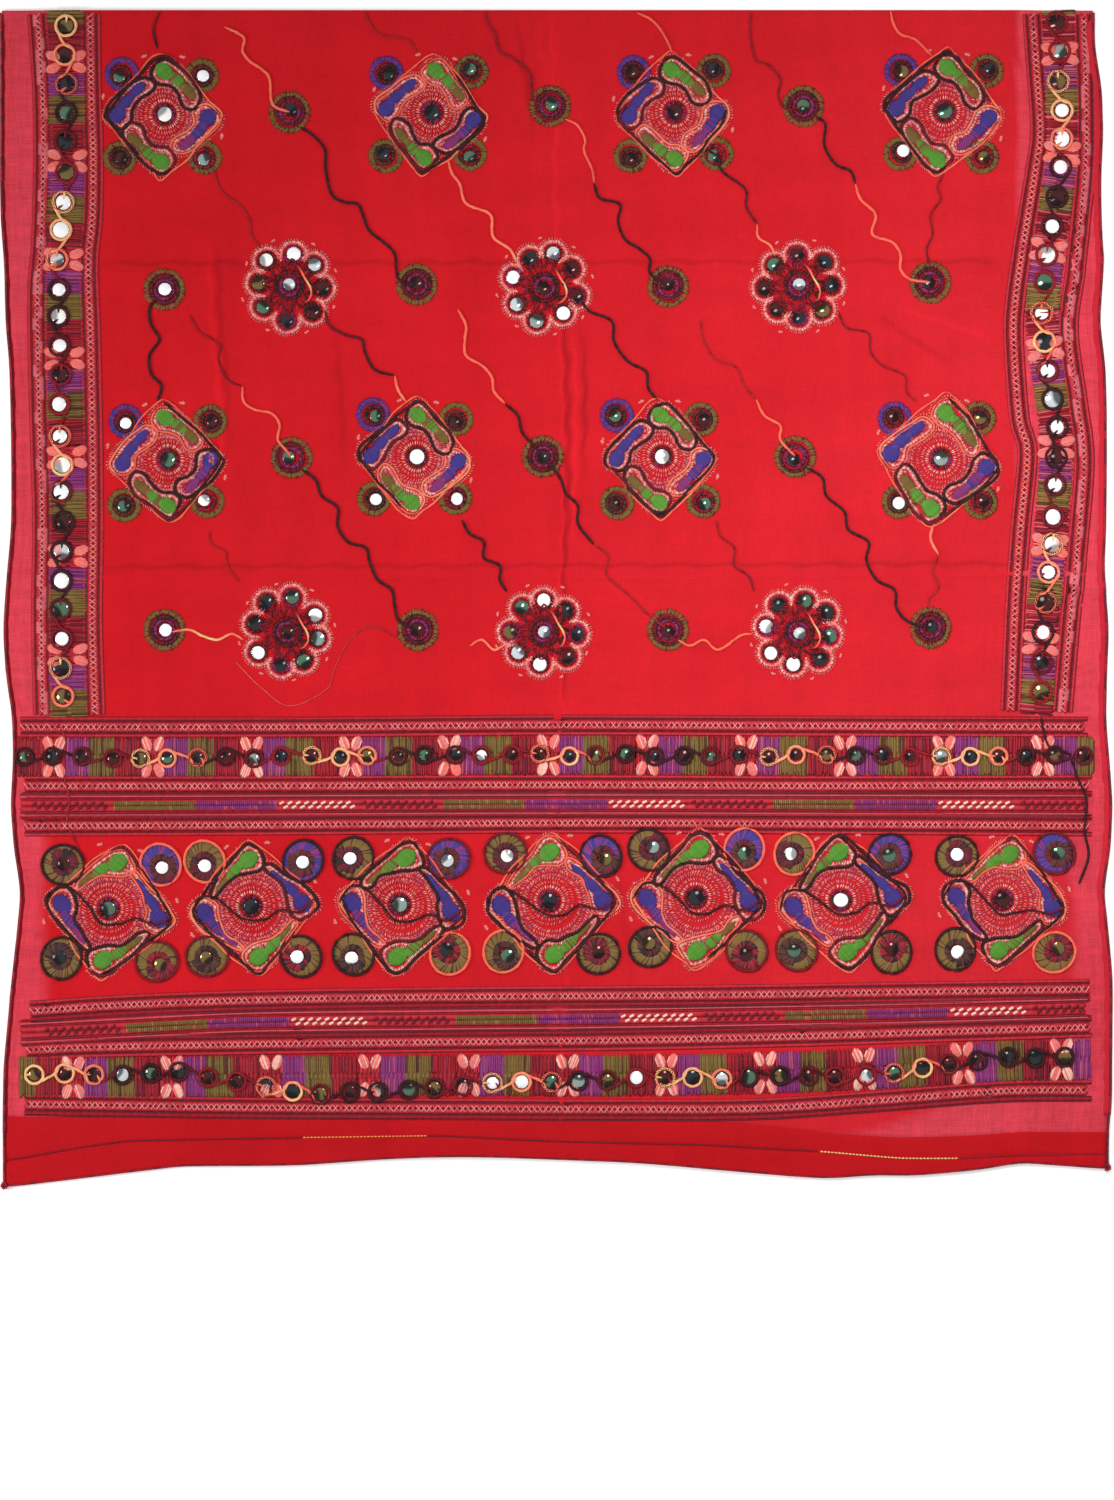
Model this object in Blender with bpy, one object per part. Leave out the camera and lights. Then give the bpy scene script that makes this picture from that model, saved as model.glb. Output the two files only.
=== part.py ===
"""A long dupatta of thin red cotton, folded once across its middle and laid flat.

The half that shows is one wall of cloth. It turns over at the fold and lies on the hidden half.
Lengths are in metres, +Z is up, the fold is at +Y and the end hem at -Y.
Tables give "down", the distance from the fold, and "across", the distance from the left edge's widest line.
"""
import bisect
import math

import bmesh
import bpy

MM = 0.001

# Driving dimensions
WIDTH = 1068 * MM            # across the cloth, between its widest lines
HALF_LENGTH = 1130 * MM      # from the fold to the lowest point of the end hem
WALL = 1.2 * MM              # one layer of cloth
GAP = 0.3 * MM               # between pieces that touch
UNDER_THICKNESS = 2.0 * MM   # the hidden half, with its sides turned in
FOLD_PUFF = 1.0 * MM         # how far the fold stands above the pressed cloth
FOLD_RETURN = 9 * MM         # cloth that is back under the fold before the hidden half starts
LEFT_HEM_WIDTH = 4.8 * MM
RIGHT_HEM_WIDTH = 8.0 * MM
ROLLED_HEM_HEIGHT = 2.2 * MM
TURNED_LAYER = 0.9 * MM      # the end hem's inner layer
TUCK_CLEARANCE = 4 * MM      # the upper cloth stays level this far past the hidden half
PITCH = 40 * MM              # spacing of the plain grid lines
FOLD_STEPS = 8               # facets round the fold

# Side edges: distance in from the widest line on each side, a row for each turn of the edge
SIDE_EDGES = (
    # down, left_in, right_in
    (0, 6, 27),
    (10, 1, 23),
    (48, 0, 15),
    (95, 0, 9),
    (182, 0, 12),
    (226, 2, 9),
    (262, 6, 9),
    (296, 5, 13),
    (342, 9, 7),
    (460, 11, 6),
    (520, 10, 7),
    (549, 6, 9),
    (590, 3, 4),
    (625, 4, 5),
    (670, 11, 7),
    (710, 13, 4),
    (768, 10, 0),
    (803, 13, 2),
    (849, 20, 9),
    (895, 15, 3),
    (941, 10, 0),
    (987, 6, 4),
    (1033, 2, 0),
    (1079, 4, 4),
    (1130, 6, 9),
)

# Lower edge: rise above its lowest line, and depth of the hem there
END_EDGE = (
    # across, rise, hem_depth
    (8, 0, 50),
    (38, 5, 50),
    (77, 13, 53),
    (115, 18, 50),
    (182, 20, 47),
    (288, 21, 46),
    (355, 26, 42),
    (442, 29, 39),
    (538, 26, 41),
    (614, 23, 43),
    (672, 18, 46),
    (730, 13, 46),
    (797, 8, 43),
    (845, 12, 36),
    (878, 11, 36),
    (960, 19, 31),
    (987, 24, 29),
    (1018, 20, 32),
    (1068, 17, 35),
)

# Hidden half: distance in from the widest line on each side
UNDER_SIDES = (
    # down, left_in, right_in
    (0, 55, 93),
    (640, 55, 93),
    (720, 53, 78),
    (855, 52, 46),
    (930, 53, 46),
    (1010, 60, 52),
    (1130, 78, 64),
)

# Hidden half: where its own end lies
UNDER_END = (
    # across, down
    (0, 1078),
    (760, 1078),
    (840, 1066),
    (1010, 1000),
    (1068, 985),
)

# Press creases and the folds of the margins, as soft ridges of the upper cloth
CREASES = (
    # across_1, down_1, across_2, down_2, height, half_width
    (540, 0, 540, 1060, 1.6, 6.0),
    (96, 253, 980, 253, 1.2, 6.0),
    (96, 545, 1060, 545, 1.4, 6.0),
    (1000, 205, 1046, 290, 2.6, 16.0),
    (990, 560, 1046, 545, 2.0, 14.0),
    (20, 640, 80, 618, 1.8, 14.0),
    (180, 225, 222, 480, 1.4, 16.0),
    (850, 300, 1000, 350, 1.4, 18.0),
    (500, 15, 525, 160, 1.4, 14.0),
    (60, 1010, 330, 1035, 1.8, 20.0),
    (640, 1000, 980, 1030, 1.8, 20.0),
    (120, 745, 420, 760, 1.2, 20.0),
    (700, 745, 1000, 735, 1.2, 20.0),
)

# Slow waves over the whole cloth
WAVES = (
    # wavelength_across, wavelength_down, phase, height
    (430, 610, 0.4, 0.5),
    (270, 380, 2.1, 0.4),
    (190, 240, 4.3, 0.3),
)

COLOURS = {
    # linear red, green, blue
    "field_red": (0.672, 0.0123, 0.0212),
    "hidden_red": (0.500, 0.0100, 0.0170),
    "hem_red": (0.597, 0.0060, 0.0130),
}


def clear_scene():
    for item in list(bpy.data.objects):
        bpy.data.objects.remove(item)


def table_value(rows, column, at):
    """Smooth value of a table's column, where the first column is at; both in millimetres."""
    places = [row[0] for row in rows]
    last = len(rows) - 1
    if at <= places[0]:
        return rows[0][column]
    if at >= places[last]:
        return rows[last][column]
    upper = bisect.bisect_right(places, at)
    lower = upper - 1

    def slope(index):
        before = max(index - 1, 0)
        after = min(index + 1, last)
        return (rows[after][column] - rows[before][column]) / (places[after] - places[before])

    span = places[upper] - places[lower]
    t = (at - places[lower]) / span
    start, end = rows[lower][column], rows[upper][column]
    return (
        start * (2 * t**3 - 3 * t**2 + 1)
        + slope(lower) * span * (t**3 - 2 * t**2 + t)
        + end * (3 * t**2 - 2 * t**3)
        + slope(upper) * span * (t**3 - t**2)
    )


def smooth_step(t):
    t = min(max(t, 0.0), 1.0)
    return t * t * (3 - 2 * t)


def left_edge(down):
    return table_value(SIDE_EDGES, 1, down / MM) * MM


def right_edge(down):
    return WIDTH - table_value(SIDE_EDGES, 2, down / MM) * MM


def lower_edge(across):
    return HALF_LENGTH - table_value(END_EDGE, 1, across / MM) * MM


def hem_line(across):
    return lower_edge(across) - table_value(END_EDGE, 2, across / MM) * MM


def under_left(down):
    return table_value(UNDER_SIDES, 1, down / MM) * MM


def under_right(down):
    return WIDTH - table_value(UNDER_SIDES, 2, down / MM) * MM


def under_end(across):
    return table_value(UNDER_END, 1, across / MM) * MM


# Grid lines of the upper cloth
INNER_LEFT = 130 * MM
INNER_RIGHT = WIDTH - 150 * MM
INNER_END = 930 * MM
FOLD_RADIUS = (UNDER_THICKNESS + GAP + FOLD_PUFF + WALL) / 2
CREASE_OFFSETS = (-9 * MM, -4 * MM, 0.0, 4 * MM, 9 * MM)


def stations(start, stop, crease_lines):
    """Grid lines from start to stop, an even pitch with five close lines at each crease."""
    lines = []
    marks = [start] + sorted(crease_lines) + [stop]
    reach = CREASE_OFFSETS[-1]
    for first, second in zip(marks, marks[1:]):
        low = first + (reach if first in crease_lines else 0)
        high = second - (reach if second in crease_lines else 0)
        steps = max(1, round((high - low) / PITCH))
        lines += [low + (high - low) * step / steps for step in range(steps + 1)]
        if second in crease_lines:
            lines += [second + offset for offset in CREASE_OFFSETS[1:-1]]
    return lines


CENTRE_CREASE = CREASES[0][0] * MM
CROSS_CREASES = [CREASES[1][1] * MM, CREASES[2][1] * MM]
INNER_COLUMNS = stations(INNER_LEFT, INNER_RIGHT, [CENTRE_CREASE])
INNER_ROWS = stations(34 * MM, INNER_END, CROSS_CREASES)
MARGIN_STEPS = 3


def between(start, stop, steps):
    """Evenly spaced values from start, not including stop."""
    return [start + (stop - start) * step / steps for step in range(steps)]


def columns_at(down):
    """Where the upper cloth's columns are, from its left hem to its right hem."""
    left = left_edge(down) + LEFT_HEM_WIDTH + GAP
    right = right_edge(down) - RIGHT_HEM_WIDTH - GAP
    left_tuck = under_left(down) - TUCK_CLEARANCE
    right_tuck = under_right(down) + TUCK_CLEARANCE
    left_part = between(left, left_tuck, MARGIN_STEPS) + between(left_tuck, INNER_LEFT, MARGIN_STEPS)
    right_part = between(right, right_tuck, MARGIN_STEPS) + between(right_tuck, INNER_RIGHT, MARGIN_STEPS)
    return left_part + INNER_COLUMNS + right_part[::-1]


NOMINAL_COLUMNS = columns_at(0.95 * HALF_LENGTH)


def rows_at(across):
    """Where the upper cloth's rows are, from the roll of the fold to the end hem's seam."""
    seam = hem_line(across) - GAP
    end_tuck = min(under_end(across) + TUCK_CLEARANCE, seam - 24 * MM)
    start = [FOLD_RADIUS, 9 * MM, 16 * MM, 24 * MM]
    end = between(INNER_END, end_tuck, MARGIN_STEPS)[1:] + between(end_tuck, seam, MARGIN_STEPS) + [seam]
    return start + INNER_ROWS + end


def fold_share(down):
    """1 where the fold lifts the cloth, 0 beyond it."""
    return 1 - smooth_step((down - FOLD_RETURN - 2 * MM) / (24 * MM))


def tuck_share(across, down):
    """1 where the cloth lies on the hidden half, 0 where it lies on the floor."""
    left = left_edge(down) + LEFT_HEM_WIDTH + GAP
    right = right_edge(down) - RIGHT_HEM_WIDTH - GAP
    left_tuck = under_left(down) - TUCK_CLEARANCE
    right_tuck = under_right(down) + TUCK_CLEARANCE
    from_left = (across - left) / (left_tuck - left)
    from_right = (right - across) / (right - right_tuck)
    from_end = 1 - (down - under_end(across) - TUCK_CLEARANCE) / (14 * MM)
    return smooth_step(min(from_left, from_right, from_end))


def crease_height(across, down):
    """The tallest ridge at a point."""
    tallest = 0.0
    for x1, y1, x2, y2, height, half_width in CREASES:
        run_x, run_y = x2 - x1, y2 - y1
        length = math.hypot(run_x, run_y)
        along = ((across / MM - x1) * run_x + (down / MM - y1) * run_y) / length
        aside = ((across / MM - x1) * run_y - (down / MM - y1) * run_x) / length
        past_end = max(-along, along - length, 0.0)
        distance = math.hypot(aside, past_end) / half_width
        tallest = max(tallest, height * math.exp(-distance * distance))
    return tallest * MM


def wave_height(across, down):
    height = 0.0
    for length_x, length_y, phase, size in WAVES:
        turn_x = 2 * math.pi * across / MM / length_x
        turn_y = 2 * math.pi * down / MM / length_y
        height += size * (1 + math.sin(turn_x + phase) * math.cos(turn_y - phase)) / 2
    return height * MM


def cloth_level(across, down):
    """Height of the upper cloth's underside above the floor."""
    fold = fold_share(down)
    on_under = (UNDER_THICKNESS + GAP) * tuck_share(across, down)
    on_return = (WALL + GAP) * fold
    relief = (crease_height(across, down) + wave_height(across, down)) * (1 - fold)
    return max(on_under, on_return) + FOLD_PUFF * fold + relief


def turned_rise(across, down):
    """Extra height near the seam, where the cloth climbs over the hem's inner layer."""
    return (TURNED_LAYER + GAP) * smooth_step(1 - (hem_line(across) - GAP - down) / (10 * MM))


def place(across, down, height):
    return (across - WIDTH / 2, HALF_LENGTH / 2 - down, height)


def closed_tube_faces(sections, points):
    """Quads along a run of equal closed sections, with a flat cap at each end."""
    faces = []
    for section in range(sections - 1):
        for point in range(points):
            following = (point + 1) % points
            near, far = section * points, (section + 1) * points
            faces.append((near + point, near + following, far + following, far + point))
    faces.append(tuple(reversed(range(points))))
    faces.append(tuple((sections - 1) * points + point for point in range(points)))
    return faces


def make_material(name, roughness):
    material = bpy.data.materials.new(name)
    material.use_nodes = True
    shader = material.node_tree.nodes["Principled BSDF"]
    shader.inputs["Base Color"].default_value = (*COLOURS[name], 1.0)
    shader.inputs["Roughness"].default_value = roughness
    shader.inputs["Metallic"].default_value = 0.0
    return material


def make_object(name, vertices, faces, material):
    mesh = bpy.data.meshes.new(name)
    mesh.from_pydata(vertices, [], faces)
    edit = bmesh.new()
    edit.from_mesh(mesh)
    bmesh.ops.recalc_face_normals(edit, faces=edit.faces)
    edit.to_mesh(mesh)
    edit.free()
    mesh.shade_smooth()
    mesh.set_sharp_from_angle(angle=math.radians(40))
    mesh.materials.append(material)
    item = bpy.data.objects.new(name, mesh)
    bpy.context.scene.collection.objects.link(item)
    return item


def make_turned_wall(name, sections, material):
    """A wall of cloth that turns back on itself: each section is its outer face, then its inner face reversed."""
    points = len(sections[0])
    vertices = [place(*point) for section in sections for point in section]
    faces = []
    for section in range(len(sections) - 1):
        for point in range(points):
            following = (point + 1) % points
            near, far = section * points, (section + 1) * points
            faces.append((near + point, near + following, far + following, far + point))
    for start in (0, (len(sections) - 1) * points):
        for point in range(points // 2 - 1):
            mate = points - 1 - point
            faces.append((start + point, start + point + 1, start + mate - 1, start + mate))
    return make_object(name, vertices, faces, material)


def upper_section(column):
    """One line of the upper cloth: from the hem's seam to the fold, round it and back to the return."""
    outer, inner = [], []
    for down in reversed(rows_at(NOMINAL_COLUMNS[column])):
        across = columns_at(down)[column]
        level = cloth_level(across, down) + turned_rise(NOMINAL_COLUMNS[column], down)
        outer.append((across, down, level + WALL))
        inner.append((across, down, level))
    outer_radius = outer[-1][2] / 2
    for step in range(1, FOLD_STEPS + 1):
        angle = math.pi / 2 - math.pi * step / FOLD_STEPS
        for face, radius in ((outer, outer_radius), (inner, outer_radius - WALL)):
            down = FOLD_RADIUS - radius * math.cos(angle)
            face.append((across, down, outer_radius + radius * math.sin(angle)))
    outer.append((across, FOLD_RETURN, 0.0))
    inner.append((across, FOLD_RETURN, WALL))
    return outer + inner[::-1]


def make_upper_half(material):
    sections = [upper_section(column) for column in range(len(NOMINAL_COLUMNS))]
    return make_turned_wall("upper_half", sections, material)


# Edge of the hidden half: two turned layers with a groove between them
UNDER_PROFILE = (
    # inset, height, in millimetres
    (0.8, 0.0),
    (0.1, 0.2),
    (0.0, 0.6),
    (0.7, 0.9),
    (0.7, 1.1),
    (0.0, 1.4),
    (0.1, 1.8),
    (0.8, 2.0),
)


def side_rows(side):
    """Even rows down one side of the hidden half, as far as the corner with its own end."""
    top = FOLD_RETURN + GAP
    corner = under_end(side(top))
    for _ in range(8):
        corner = under_end(side(corner))
    steps = round((corner - top) / PITCH)
    return [top + (corner - top) * step / steps for step in range(steps + 1)]


def under_outline():
    """The hidden half's outline in (across, down), clockwise as seen from above."""
    left_rows, right_rows = side_rows(under_left), side_rows(under_right)
    left_side = [(under_left(down), down) for down in left_rows]
    right_side = [(under_right(down), down) for down in right_rows]
    steps = round(WIDTH / PITCH)

    def run(start, stop):
        """Places across, between two corners and without them."""
        return [start + (stop - start) * step / steps for step in range(1, steps)]

    top_side = [(across, left_side[0][1]) for across in run(left_side[0][0], right_side[0][0])]
    end_side = [(across, under_end(across)) for across in run(right_side[-1][0], left_side[-1][0])]
    return top_side + right_side + end_side + left_side[::-1]


def make_under_half(material):
    outline = under_outline()
    count = len(outline)
    vertices = []
    for inset, height in UNDER_PROFILE:
        for index, (across, down) in enumerate(outline):
            before, after = outline[index - 1], outline[(index + 1) % count]
            run_x, run_y = after[0] - before[0], after[1] - before[1]
            length = math.hypot(run_x, run_y)
            inward_x, inward_y = -run_y / length, run_x / length
            vertices.append(place(across + inward_x * inset * MM, down + inward_y * inset * MM, height * MM))
    rings = len(UNDER_PROFILE)
    faces = closed_tube_faces(rings, count)
    return make_object("under_half", vertices, faces, material)


# Rolled hem: its section as shares of its width and height
ROLLED_SECTION = (
    # across, height
    (0.15, 0.0),
    (0.85, 0.0),
    (1.0, 0.2),
    (1.0, 0.75),
    (0.8, 1.0),
    (0.25, 1.0),
    (0.0, 0.7),
    (0.0, 0.25),
)


def make_side_hem(name, column, outer_edge, width, material):
    """A rolled hem down one side; width is negative on the right. It narrows to a tip at the fold."""
    rows = rows_at(NOMINAL_COLUMNS[column])
    stops = [(rows[0] * 0.4, rows[0], 0.7)] + [(down, down, 1.0) for down in rows]
    vertices = []
    for down, edge_down, size in stops:
        level = cloth_level(columns_at(edge_down)[column], down)
        for share, height in ROLLED_SECTION:
            across = outer_edge(edge_down) + width * share
            vertices.append(place(across, down, level + ROLLED_HEM_HEIGHT * height * size))
    faces = closed_tube_faces(len(stops), len(ROLLED_SECTION))
    return make_object(name, vertices, faces, material)


HEM_STACK = WALL + GAP + TURNED_LAYER
HEM_SHARES = (0.0, 0.18, 0.36, 0.54, 0.72, 0.88)
HEM_TURN_OUTER = (
    # share of the depth, height as a share of the stack
    (0.97, 0.92),
    (1.0, 0.66),
    (1.0, 0.3),
    (0.97, 0.0),
)
HEM_TURN_INNER_SHARES = (0.895, 0.905, 0.905, 0.895)


def hem_columns_at(down):
    """The upper cloth's columns with the two outer edges added."""
    return [left_edge(down)] + columns_at(down) + [right_edge(down)]


def hem_section(column, nominal):
    """The end hem's section: out along the top, round the lower edge and back under."""
    top, edge = hem_line(nominal), lower_edge(nominal)
    slit_low, slit_high = TURNED_LAYER, TURNED_LAYER + GAP

    def point(share, height):
        down = top + (edge - top) * share
        across = hem_columns_at(down)[column]
        return across, down, cloth_level(across, down) + height

    outer = [point(share, HEM_STACK) for share in HEM_SHARES]
    outer += [point(share, HEM_STACK * height) for share, height in HEM_TURN_OUTER]
    outer += [point(share, 0.0) for share in reversed(HEM_SHARES)]
    inner = [point(share, slit_high) for share in HEM_SHARES]
    inner_turn = zip(HEM_TURN_INNER_SHARES, (slit_high, slit_high, slit_low, slit_low))
    inner += [point(share, height) for share, height in inner_turn]
    inner += [point(share, slit_low) for share in reversed(HEM_SHARES)]
    return outer + inner[::-1]


def make_end_hem(material):
    nominal_columns = [left_edge(HALF_LENGTH)] + NOMINAL_COLUMNS + [right_edge(HALF_LENGTH)]
    sections = [hem_section(column, nominal) for column, nominal in enumerate(nominal_columns)]
    return make_turned_wall("end_hem", sections, material)


def main():
    clear_scene()
    last_column = len(NOMINAL_COLUMNS) - 1
    make_upper_half(make_material("field_red", 0.85))
    make_under_half(make_material("hidden_red", 0.85))
    hem_red = make_material("hem_red", 0.8)
    make_side_hem("left_hem", 0, left_edge, LEFT_HEM_WIDTH, hem_red)
    make_side_hem("right_hem", last_column, right_edge, -RIGHT_HEM_WIDTH, hem_red)
    make_end_hem(hem_red)


main()
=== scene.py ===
# %% [markdown]
# # A mirror-work dupatta, folded once and laid flat
# The real object is one length of thin red cotton, about 1.07 m wide. It is embroidered all over with
# thread, wandering yarn and small round mirrors, then folded across its middle and pressed. The packed
# solids give the places. This script dresses them with thin cloth, stitches, yarn and glass.

# %% Load the frame
import math

import bmesh
import bpy
import numpy as np
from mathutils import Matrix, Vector
from mathutils.bvhtree import BVHTree

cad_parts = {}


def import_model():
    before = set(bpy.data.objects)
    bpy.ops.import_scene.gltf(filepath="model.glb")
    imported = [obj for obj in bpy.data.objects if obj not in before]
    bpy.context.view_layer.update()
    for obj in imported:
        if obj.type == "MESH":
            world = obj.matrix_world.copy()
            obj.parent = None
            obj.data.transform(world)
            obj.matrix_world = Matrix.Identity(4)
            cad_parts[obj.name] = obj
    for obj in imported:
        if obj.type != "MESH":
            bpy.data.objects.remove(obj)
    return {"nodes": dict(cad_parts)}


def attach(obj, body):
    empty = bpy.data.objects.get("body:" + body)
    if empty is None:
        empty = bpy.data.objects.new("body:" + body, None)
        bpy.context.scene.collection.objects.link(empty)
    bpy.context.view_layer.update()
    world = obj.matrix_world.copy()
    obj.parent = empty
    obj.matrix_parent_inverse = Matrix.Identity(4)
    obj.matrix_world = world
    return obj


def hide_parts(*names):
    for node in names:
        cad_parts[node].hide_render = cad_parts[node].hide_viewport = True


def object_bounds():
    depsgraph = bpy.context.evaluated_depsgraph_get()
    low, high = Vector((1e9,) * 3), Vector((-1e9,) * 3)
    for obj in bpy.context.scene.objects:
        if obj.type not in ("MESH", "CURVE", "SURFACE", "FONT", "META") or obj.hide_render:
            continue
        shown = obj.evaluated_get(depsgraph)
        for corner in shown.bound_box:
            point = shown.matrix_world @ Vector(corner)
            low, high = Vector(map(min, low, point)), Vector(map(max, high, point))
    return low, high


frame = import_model()
NODES = frame["nodes"]
CAD_BOX = [[float(value) for value in corner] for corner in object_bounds()]
bpy.ops.object.select_all(action="DESELECT")
print("frame:", sorted(NODES), "box", CAD_BOX)

# %% [markdown]
# ## One way to say where things are
# An embroiderer measures from the fold and from the left edge, in millimetres. Everything below is placed
# so: "across" from the left edge's widest line and "down" from the fold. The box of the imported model
# turns such a place into the frame's own metres. Numpy arrays hold many places at once, which keeps loops
# short.

# %% Sizes and places
MM = 0.001
LEFT = CAD_BOX[0][0] / MM
FOLD = CAD_BOX[1][1] / MM
WIDTH = (CAD_BOX[1][0] - CAD_BOX[0][0]) / MM
HALF_LENGTH = (CAD_BOX[1][1] - CAD_BOX[0][1]) / MM
PHOTO_PIXEL = 0.96            # millimetres of cloth to a pixel of the photograph
PHOTO_FOLD_ROW = 10           # the photograph's row where the fold lies
CLOTH_THICKNESS = 0.45
RANDOM = np.random.default_rng(41)


def world(across, down, height):
    """Millimetres across, down and up as rows of x, y, z in metres."""
    across, down, height = np.broadcast_arrays(across, down, height)
    return np.stack([LEFT + across, FOLD - down, height], axis=-1) * MM


def from_photo(column, row):
    """A place in the photograph's pixels as millimetres across and down."""
    return np.asarray(column) * PHOTO_PIXEL, (np.asarray(row) - PHOTO_FOLD_ROW) * PHOTO_PIXEL


def node_points(name):
    """A node's points as millimetres across, down and up."""
    points = np.array([vertex.co for vertex in NODES[name].data.vertices]) / MM
    return np.stack([points[:, 0] - LEFT, FOLD - points[:, 1], points[:, 2]], axis=-1)


print(f"cloth: {WIDTH:.0f} mm across, {HALF_LENGTH:.0f} mm from fold to hem")

# %% [markdown]
# ## The outline, read from the solids
# The sides of a cloth laid by hand wave in and out a little. The solids hold those lines already, so the
# script finds each node's furthest points and runs a smooth line through them. Smoothing is a moving
# average with a bell-shaped weight, written once here and used again for the height of the cloth.


# %% Smooth lines through the rim of a node
def bell(size):
    weights = np.exp(-0.5 * (np.arange(-3 * size, 3 * size + 1) / size) ** 2)
    return weights / weights.sum()


def smoothed(values, size):
    """A row of values, averaged with its neighbours; its ends are held."""
    reach = 3 * size
    return np.convolve(np.pad(values, reach, mode="edge"), bell(size), mode="valid")


class Line:
    """A smooth line of values, one for each millimetre along."""

    def __init__(self, places, values, length, size=9):
        order = np.argsort(places)
        steps = np.arange(int(length) + 2)
        self.values = smoothed(np.interp(steps, np.asarray(places)[order], np.asarray(values)[order]), size)

    def __call__(self, at):
        return np.interp(at, np.arange(len(self.values)), self.values)


def rim(name, along, outward, sign, length, middle=None, window=22.0):
    """The line of a node's furthest points: outward is the axis that is measured, sign its direction.

    A wide node has few points on a straight side, so middle keeps its other side out of the search.
    """
    points = node_points(name)
    if middle is not None:
        points = points[sign * (points[:, outward] - middle) > 0]
    reach = sign * points[:, outward]
    kept = [
        index for index, place in enumerate(points[:, along])
        if reach[index] >= reach[np.abs(points[:, along] - place) < window].max() - 0.001
    ]
    return Line(points[kept, along], points[kept, outward], length)


ACROSS, DOWN = 0, 1
left_edge = rim("left_hem", DOWN, ACROSS, -1, HALF_LENGTH)
right_edge = rim("right_hem", DOWN, ACROSS, 1, HALF_LENGTH)
lower_edge = rim("end_hem", ACROSS, DOWN, 1, WIDTH)
hem_line = rim("end_hem", ACROSS, DOWN, -1, WIDTH)
under_left = rim("under_half", DOWN, ACROSS, -1, HALF_LENGTH, WIDTH / 2)
under_right = rim("under_half", DOWN, ACROSS, 1, HALF_LENGTH, WIDTH / 2)
under_end = rim("under_half", ACROSS, DOWN, 1, WIDTH, HALF_LENGTH / 2)
left_middle, right_middle = left_edge(HALF_LENGTH / 2), right_edge(HALF_LENGTH / 2)
print(f"sides at half way: {left_middle:.1f} and {right_middle:.1f} mm")

# %% [markdown]
# ## How high the cloth lies
# Rays dropped on the imported solids every few millimetres give the level of the cloth, with its press
# creases, its slow waves and the step where it falls off the hidden half. Averaging takes away the
# facets. Creases that are too fine for the solids are added from a table, one row each, placed where
# the photograph has them.

# %% Height map of the solids
STEP = 2.0
GRID_ACROSS = np.arange(-10, WIDTH + 12, STEP)
GRID_DOWN = np.arange(-10, HALF_LENGTH + 12, STEP)


def solid_tops():
    """Height of the highest solid under every fourth point of the grid, NaN where there is none."""
    vertices, triangles = [], []
    for name in ("upper_half", "end_hem"):
        mesh = NODES[name].data
        start = len(vertices)
        vertices += [vertex.co.copy() for vertex in mesh.vertices]
        triangles += [[start + corner for corner in face.vertices] for face in mesh.polygons]
    tree = BVHTree.FromPolygons(vertices, triangles)
    coarse_across, coarse_down = GRID_ACROSS[::4], GRID_DOWN[::4]
    tops = np.zeros((len(coarse_down), len(coarse_across)))
    for row, down in enumerate(coarse_down):
        for column, across in enumerate(coarse_across):
            start = Vector(world(across, down, 50.0))
            hit = tree.ray_cast(start, Vector((0, 0, -1)))[0]
            tops[row, column] = np.nan if hit is None else hit.z / MM
    return coarse_across, coarse_down, tops


def filled(tops):
    """Carries the level at the cloth's edge outwards, so that averaging doesn't pull it down."""
    tops = tops.copy()
    for _ in range(8):
        empty = np.isnan(tops)
        padded = np.pad(tops, 1, mode="edge")
        around = np.stack([padded[1:-1, 2:], padded[1:-1, :-2], padded[2:, 1:-1], padded[:-2, 1:-1]])
        known = ~np.isnan(around)
        total = np.where(known, around, 0).sum(axis=0)
        count = known.sum(axis=0)
        tops = np.where(empty & (count > 0), total / np.maximum(count, 1), tops)
    return np.nan_to_num(tops)


coarse_across, coarse_down, coarse_tops = solid_tops()
level_rows = np.stack([np.interp(GRID_ACROSS, coarse_across, row) for row in filled(coarse_tops)])
LEVEL = np.stack([np.interp(GRID_DOWN, coarse_down, column) for column in level_rows.T]).T
for axis in (0, 1):
    LEVEL = np.apply_along_axis(smoothed, axis, LEVEL, 3)
print(f"cloth level: {LEVEL.min():.2f} to {LEVEL.max():.2f} mm over {LEVEL.size} grid points")

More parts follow.
